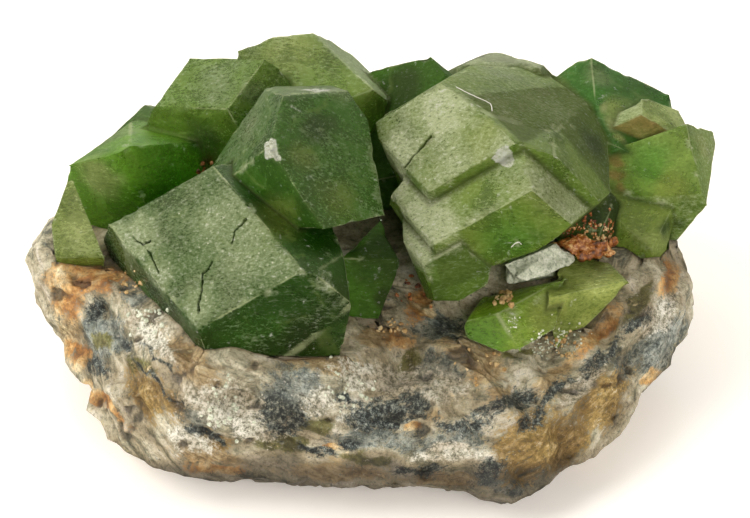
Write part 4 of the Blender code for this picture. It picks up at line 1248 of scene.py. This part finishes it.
for node, name, mat, grain_mm, depth, slot in (
        ("calcite_patch", "calcite_piece", calcite, 0.34, 0.05, "speckled_calcite"),
        ("limonite_crust", "limonite_lumps", limonite, 0.42, 0.20, "limonite")):
    piece = fine_copy(node, name)
    roughen(piece, 0.09, grain_mm, depth, 11)
    dress(piece, mat, node)

# %% [markdown]
# ## Crumbs
# The gaps between the crystals hold loose crumbs of rust, calcite and rock. A
# crumb is a ball of twenty faces, squashed, turned and shaken, and half sunk in
# what lies under it. Each kind is one joined mesh, so hundreds of crumbs cost
# little.

# %% Scatter the crumbs
ground = [BVHTree.FromObject(ob, bpy.context.evaluated_depsgraph_get())
          for ob in (*BODIES, rock)]


def drop(place):
    """Where a ray from 12 mm nearer the viewer first meets a crystal or the rock."""
    start = (Vector(place) + TO_CAMERA * 12) * MM
    hits = [tree.ray_cast(start, -TO_CAMERA) for tree in ground]
    hits = [hit for hit in hits if hit[0] is not None]
    return min(hits, key=lambda hit: hit[3])[0] / MM if hits else None


def crumbs(name, zones, mat, seed):
    """Crumbs in the zones, given as x, y, z, radius, count and size in mm."""
    chance = np.random.default_rng(seed)
    bm = bmesh.new()
    count = 0
    for *middle, radius, number, size in zones:
        middle = Vector(middle)
        for _ in range(number):
            found = drop(middle + Vector(chance.normal(0, 0.5, 3)) * radius)
            if found is None or (found - middle).length > 2.2 * radius:
                continue
            r = size * chance.uniform(0.5, 1.3) / 2
            made = bmesh.ops.create_icosphere(bm, subdivisions=1, radius=r)["verts"]
            bmesh.ops.scale(bm, vec=chance.uniform(0.6, 1.25, 3), verts=made)
            bmesh.ops.rotate(bm, cent=(0, 0, 0), verts=made,
                             matrix=Euler(chance.uniform(0, math.tau, 3)).to_matrix())
            for v in made:
                v.co *= chance.uniform(0.75, 1.2)
            bmesh.ops.translate(bm, vec=found, verts=made)
            count += 1
    bmesh.ops.scale(bm, vec=(MM,) * 3, verts=bm.verts)
    dress(mesh_object(name, bm), mat, None)
    print(name, count, "crumbs")


crumbs("limonite_crumbs", [
    (11.4, 0.4, 8.9, 1.0, 70, 0.18), (13.2, 0.0, 8.9, 0.8, 60, 0.18),
    (10.2, -0.4, 9.2, 0.6, 40, 0.17), (2.2, -2.4, 6.6, 1.1, 26, 0.30),
    (-9.6, 4.4, 9.9, 0.6, 14, 0.3)], limonite, 3)
crumbs("stained_crumbs", [
    (6.9, -4.2, 7.9, 0.7, 46, 0.34), (7.7, -3.7, 8.2, 0.5, 20, 0.26),
    (12.4, -0.4, 8.7, 0.9, 30, 0.3), (1.0, -5.4, 6.2, 1.0, 20, 0.26),
    (10.2, -6.2, 5.9, 0.9, 26, 0.26), (-13.4, -3.6, 7.9, 0.9, 16, 0.24),
    (5.6, -8.0, 5.6, 1.2, 16, 0.25)], crumb_stone, 5)
crumbs("calcite_crumbs", [
    (9.0, -6.3, 6.0, 0.9, 50, 0.15), (10.4, -6.0, 6.0, 1.0, 60, 0.14),
    (7.4, -5.9, 7.3, 0.4, 24, 0.10), (8.3, -3.4, 8.3, 0.5, 18, 0.2),
    (-12.4, -6.4, 7.6, 1.0, 24, 0.26), (-8.2, -11.6, 6.0, 1.4, 30, 0.26),
    (-1.4, -10.0, 6.3, 1.6, 30, 0.24)], calcite, 7)

# %% [markdown]
# ## Lint
# A hair of lint lies over the stepped crystal, and a shorter one on its front.
# A small ring is carried along the hair and bridged to the next.

# %% Lint hairs


def hair(name, route, thick):
    """A closed tube of five sides along the route, in mm."""
    bm = bmesh.new()
    rings = []
    for index, place in enumerate(route):
        before, after = route[max(index - 1, 0)], route[min(index + 1, len(route) - 1)]
        turn = (Vector(after) - Vector(before)).to_track_quat("Z", "Y").to_matrix().to_4x4()
        ring = bmesh.ops.create_circle(
            bm, cap_ends=False, segments=5, radius=thick / 2,
            matrix=Matrix.Translation(Vector(place)) @ turn)["verts"]
        rings.append([e for e in bm.edges if e.verts[0] in ring and e.verts[1] in ring])
    for near, far in zip(rings, rings[1:]):
        bmesh.ops.bridge_loops(bm, edges=near + far)
    bmesh.ops.holes_fill(bm, edges=rings[0] + rings[-1], sides=5)
    bmesh.ops.recalc_face_normals(bm, faces=bm.faces)
    bmesh.ops.scale(bm, vec=(MM,) * 3, verts=bm.verts)
    ob = mesh_object(name, bm)
    ob.data.shade_smooth()
    dress(ob, lint, None)
    print(name, len(ob.data.polygons), "faces")


lint = grainy("lint", 9000.0, [(0.3, "d9d8cc"), (0.7, "f7f7f0")], 0.8, 0.01)
LIFT = TO_CAMERA * 0.06
HAIRS = {
    "long_hair": [(4.3, 1.9, 17.4), (4.7, 1.6, 17.35), (5.1, 1.4, 17.25), (5.5, 1.15, 17.2),
                  (5.9, 1.0, 17.1), (6.15, 0.8, 17.05), (6.2, 0.4, 17.1), (6.2, -0.1, 17.2)],
    "short_hair": [(7.2, -4.9, 11.6), (7.4, -4.95, 11.9), (7.6, -4.95, 12.0), (7.75, -4.9, 11.8)],
}
for name, route in HAIRS.items():
    hair(name, [drop(place) + LIFT for place in route], 0.05)
